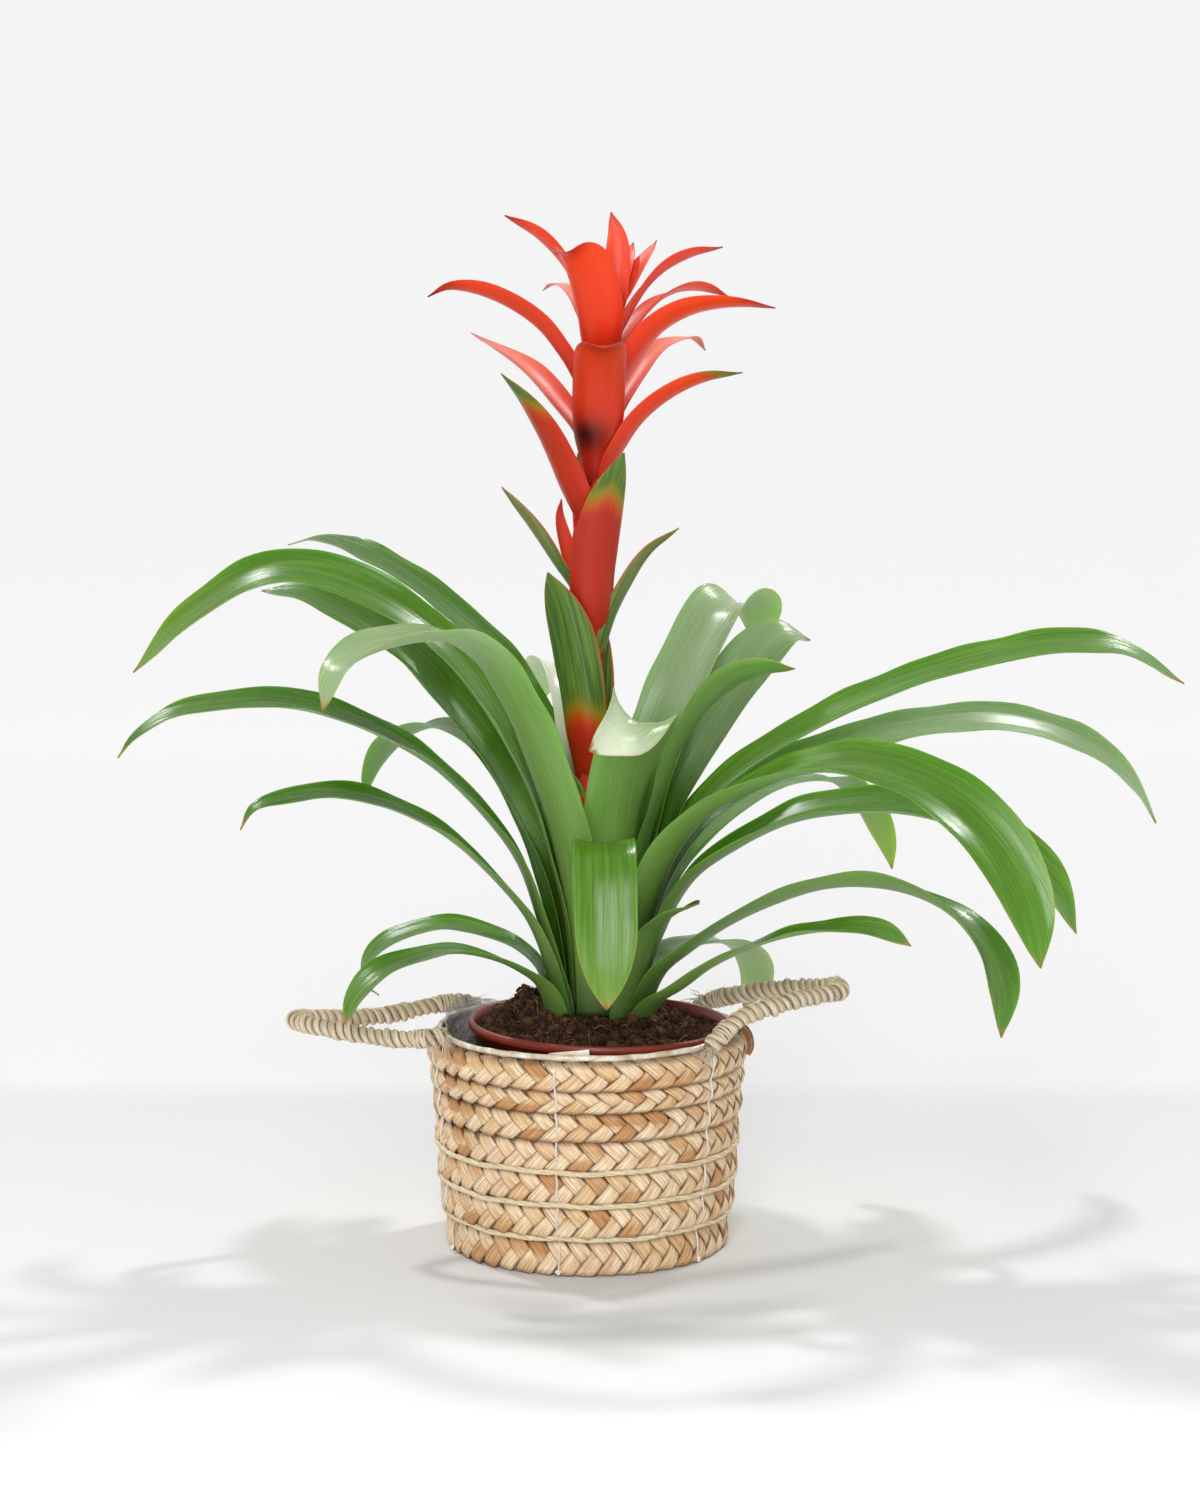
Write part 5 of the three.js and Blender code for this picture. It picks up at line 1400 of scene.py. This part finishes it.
print("handles:", {node: round(curve_length(spline(route, 99))) for node, route in HANDLES.items()}, "mm")


# %% Rope finish
def rope_finish():
    """Each turn's tone picks its colour. Dark fibres and pale hairs run along the bundle, what faces
    upwards is mixed a little darker, and painted shade darkens the line where two turns meet."""
    r = Recipe("wound_fibre")
    fibre = r.noise(r.uv(16, 1.1), 4, 0.65)
    fine = r.noise(r.uv(44, 2.0, 2.2), 3, 0.6)
    tone = r.field("tone")
    base = r.ramp(tone, [(0.0, "c8b090"), (0.45, "e8d3b4"), (1.0, "f8ead4")])
    base = r.mix(r.remap(fibre, 0.32, 0.6, 0.65, 0), base, colour("8a7450"))
    base = r.mix(r.remap(fine, 0.5, 0.72, 0, 0.6), base, colour("faf0da"))
    # What faces upwards is mixed a little darker.
    normal = r.out("NewGeometry", {}, output=1)
    upper = r.remap(r.out("SeparateXYZ", {0: normal}, output=2), 0.1, 0.9, 0, 0.45)
    base = r.mix(upper, base, r.mix(1.0, base, colour("c6bd98"), "MULTIPLY"))
    # Painted shade: the line where two turns meet is darkened.
    base = r.mix(r.math("MULTIPLY", r.remap(r.field("edge"), 0.6, 1.0), 0.85), base, colour("4a3820"))
    return r.finish(Base_Color=base, Roughness=0.78, Specular_IOR_Level=0.3, Sheen_Weight=0.15,
                    Sheen_Roughness=0.5, Normal=r.bump(r.plus(fibre, fine, 0.5), 0.6, 1.0))


ROPE = rope_finish()
print("rope finish ready")

# %% Loose hairs
HAIR_POINTS = 7


def hair_lines(starts, ways, lengths, droop, seed):
    """Bent hairs: start + way times distance, sinking with its square and swaying to one side."""
    luck = np.random.default_rng(seed)
    u = np.linspace(0, 1, HAIR_POINTS)[None, :, None]
    sway = luck.normal(0, 0.25, (len(starts), 1, 3))
    reach = np.asarray(lengths)[:, None, None]
    return starts[:, None] + reach * (u * ways[:, None] + u**2 * (sway + [0, 0, -droop]))


def hair_mesh(lines, thick):
    """Three-sided tubes round many lines at once, thinning towards their tips, with closed ends."""
    along = unit(np.gradient(lines, axis=1))
    n = unit(np.cross(along, [0.31, 0.17, 0.93]))
    m = np.cross(along, n)
    turn = (2 * np.pi * np.arange(3) / 3)[:, None]
    ring = np.cos(turn) * n[:, :, None] + np.sin(turn) * m[:, :, None]
    taper = 1 - 0.7 * np.linspace(0, 1, HAIR_POINTS)[None, :, None, None]
    points = lines[:, :, None] + np.reshape(thick, (-1, 1, 1, 1)) * taper * ring
    return points, many_tubes(len(lines), HAIR_POINTS, 3), np.zeros((points.size // 3, 2))


def frayed_end(place, way, count, spread, seed):
    """A tuft of loose fibres at a rope's end."""
    luck = np.random.default_rng(seed)
    ways = unit(np.asarray(way, float) + luck.normal(0, spread, (count, 3)))
    starts = np.asarray(place, float) + luck.normal(0, 1.3, (count, 3))
    lines = hair_lines(starts, ways, luck.uniform(4, 11, count), 0.5, seed + 1)
    tuft = hair_mesh(lines, luck.uniform(0.15, 0.4, count))
    return *tuft, {"tone": luck.uniform(0, 0.8, count).repeat(3 * HAIR_POINTS), "edge": 0.0}


print("points along a hair:", HAIR_POINTS)

# %% Winding a rope
HAIRS = 170


def rope(route, seed):
    """Core, two wound bundles and loose hairs along a route."""
    luck = np.random.default_rng(seed)
    line = spline(route, 560)
    up = np.tile([0.0, 0, 1.0], (len(line), 1))
    way = np.linspace(0, 1, len(line))
    turns = round(curve_length(line) / (2 * WRAP_GAP))
    core, faces, uv = sweep(line, up, CORE_RADIUS, CORE_RADIUS, 8)
    # The core is painted dark all over, as the shade seen between the turns.
    parts = [(core, faces, uv, {"tone": 0.0, "edge": 1.0})]
    for start in (0.0, 0.5):
        place = way * turns + start
        wide, deep, out, tone = (luck.uniform(low, high, 2 * turns + 4) for low, high in (
            (0.85, 1.15), (0.8, 1.2), (-0.45, 0.4), (0.1, 1.0)))
        wide, deep, out, tone = (np.interp(place * 2, np.arange(len(values)), values)
                                 for values in (wide, deep, out, tone))
        path, spoke = turn_about(line, up, WRAP_OUT + out, 2 * np.pi * place)
        rings, faces, uv = sweep(path, spoke, BUNDLE_WIDE * wide, BUNDLE_DEEP * deep, BUNDLE_SIDES)
        edge = np.tile(np.abs(np.sin(2 * np.pi * np.arange(BUNDLE_SIDES) / BUNDLE_SIDES)), len(path))
        parts.append((rings, faces, uv + start * 9, {"tone": np.repeat(tone, BUNDLE_SIDES), "edge": edge}))
    pick = luck.integers(0, len(line) - 1, HAIRS)
    around = luck.uniform(0, 2 * np.pi, len(pick))
    along = unit(np.gradient(line, axis=0))[pick]
    side = np.cross(along, [0, 0, 1.0])
    spokes = side * np.cos(around)[:, None] + np.array([0, 0, 1.0]) * np.sin(around)[:, None]
    ways = unit(spokes * 0.5 + along * luck.choice([-1, 1], HAIRS)[:, None])
    lines = hair_lines(line[pick] + spokes * ROPE_RADIUS, ways, luck.uniform(2, 7, HAIRS), 0.1, seed + 1)
    parts.append((*hair_mesh(lines, luck.uniform(0.06, 0.14, HAIRS)), {"tone": 0.9, "edge": 0.0}))
    return parts


def end_binding(line, place):
    """A few turns of thin string round the rope where it is stitched to the rim."""
    i = int(place * (len(line) - 1))
    part_of_line = spline(line[max(i - 9, 0):i + 10], 90)
    turns = np.linspace(0, 2 * np.pi * 4, len(part_of_line))
    up = np.tile([0.0, 0, 1.0], (len(part_of_line), 1))
    path, spoke = turn_about(part_of_line, up, BINDING_RADIUS, turns)
    rings, faces, uv = sweep(path, spoke, 0.6, 0.5, 6)
    return rings, faces, uv, {"tone": 0.75, "edge": 0.0}


print("wound bundles lie", WRAP_GAP, "mm apart")

# %% The two handles
FRAYS = {"handle_left": [((-70, -36, 111), (0.6, -0.9, -0.4)), ((-60, 49.5, 111), (0.9, 0.2, -0.1))],
         "handle_right": [((59, -53, 109), (-0.3, -0.8, -0.5)), ((58, 53, 110), (-0.7, 0.5, -0.2))]}
for number, (node, route) in enumerate(HANDLES.items()):
    parts = rope(route, 80 + 10 * number)
    line = spline(route, 460)
    parts += [end_binding(line, 0.06), end_binding(line, 0.94)]
    parts += [frayed_end(place, way, 46, 0.45, 84 + 10 * number + i)
              for i, (place, way) in enumerate(FRAYS[node])]
    made = joined_piece(node + "_rope", parts, ROPE, "rope", node)
    print(node, "faces:", len(made.data.polygons))

# %% [markdown]
# ## Liner
#
# Such baskets are lined with a thin clear film, crinkled where it is pressed in, drawn up behind
# the pot on the left, and rolled over at the rim. The film is a cup on a grid of angle and height,
# with creases from the sharp valleys of a noise. It is a closed sheet with an inner and an outer
# face. The rolled edge is a soft ring, and at the front a short tab of film stands up behind it.

# %% Film
FILM_SIDES = 260
FILM_ROWS = 52
FILM_FLOOR = 5.4
FILM_GAP = 0.7
FILM_THICK = 0.22
PLAIT_DEPTH = 7.6
DRAWN_UP = 11
DRAWN_UP_HEADING = np.radians(158)
DRAWN_UP_SPREAD = np.radians(26)
crease_a, crease_b = random_heights(31), random_heights(32)


def inner_radius(z):
    """Inner radius of the basket's wall: a straight taper from the foot to the rim."""
    low, high = row_radius(0), row_radius(len(ROW_TOPS) - 1)
    return low + (high - low) * np.minimum(z, ROW_TOPS[-1]) / ROW_TOPS[-1] - PLAIT_DEPTH


def film_cup():
    """The film at height share v: z runs from the floor to a wavy top, radius = the basket's inner
    radius - a gap - creases, where creases are |noise| so that they meet in sharp lines."""
    a = 2 * np.pi * np.arange(FILM_SIDES) / FILM_SIDES
    gap = np.abs((a - DRAWN_UP_HEADING + np.pi) % (2 * np.pi) - np.pi)
    drawn_up = DRAWN_UP * np.exp(-((gap / DRAWN_UP_SPREAD) ** 2))
    top = ROW_TOPS[-1] + 0.5 + drawn_up + 0.8 * crease_b(a * 64 / (2 * np.pi), 0)
    v = np.linspace(0, 1, FILM_ROWS)[:, None]
    z = FILM_FLOOR + (top - FILM_FLOOR) * v
    x, y = a * 64 / (2 * np.pi) + 0 * v, z / 7
    crease = 2.2 * np.abs(crease_a(x, y)) + 1.2 * np.abs(crease_b(x * 2, y * 2))
    free = ease(z, 60, 104)
    radius = inner_radius(z) - FILM_GAP - crease * (0.25 + 0.75 * free)
    sheets = [np.stack([(radius - inset) * np.cos(a), (radius - inset) * np.sin(a), z + 0 * radius], -1)
              for inset in (0.0, FILM_THICK)]
    return np.concatenate([sheets[0], sheets[1][::-1]]), tube_faces(2 * FILM_ROWS, FILM_SIDES)


film_finish = Recipe("clear_film")
ripple = film_finish.noise(film_finish.solid(260), 4, 0.6, 1.2)
film_finish.finish(Base_Color=colour("c9cfd2"), Roughness=0.08, Alpha=0.34, IOR=1.5,
                   Specular_IOR_Level=1.0, Normal=film_finish.bump(ripple, 2.5, 1.0))
points, faces = film_cup()
piece("liner_cup", points, faces, film_finish.material, "liner_film", "liner")
print("film points:", points.size // 3)

# %% Rolled edge
BAND_RADIUS = 72.6
BAND_HEIGHT = 108.1
BAND_STEPS = 420
band_finish = Recipe("milky_band")
fold = band_finish.noise(band_finish.solid(120), 4, 0.6, 0.8)
milk = band_finish.ramp(fold, [(0.3, "b59f80"), (0.5, "d3c6b0"), (0.7, "eee8dc")])
band_finish.finish(Base_Color=milk, Roughness=0.2, Coat_Weight=0.4, Coat_Roughness=0.1,
                   Normal=band_finish.bump(fold, 0.8, 0.7))
a = 2 * np.pi * np.arange(BAND_STEPS) / BAND_STEPS
outward = np.stack([np.cos(a), np.sin(a), 0 * a], -1)
slow = crease_a(a * 16 / (2 * np.pi) * 4, 9)
quick = crease_b(a * 64 / np.pi, 3)
band_line = outward * (BAND_RADIUS + 0.4 + 0.3 * slow[:, None])
band_line[:, 2] = BAND_HEIGHT + 0.35 * slow
band = sweep(band_line, outward, 1.55 + 0.08 * quick, 1.3 + 0.1 * slow, 14, closed=True)
TAB_RADIUS = 71.2
TAB_FOOT = 108.8
TAB_STEPS = 24
along_tab = np.radians(np.linspace(-105, -89, TAB_STEPS))
tab_height = 0.4 + 2.6 * np.linspace(0, 1, TAB_STEPS) ** 0.8
tab_out = np.stack([np.cos(along_tab), np.sin(along_tab), 0 * along_tab], -1)
tab_line = TAB_RADIUS * tab_out + np.outer(TAB_FOOT + tab_height / 2, [0, 0, 1])
tab = sweep(tab_line, tab_out, tab_height / 2 + 0.6, 0.25, 10)
joined_piece("liner_band", [(*band, {}), (*tab, {})], band_finish.material, "liner_band", "liner_rim")
print("rolled edge:", BAND_STEPS, "steps round the rim")
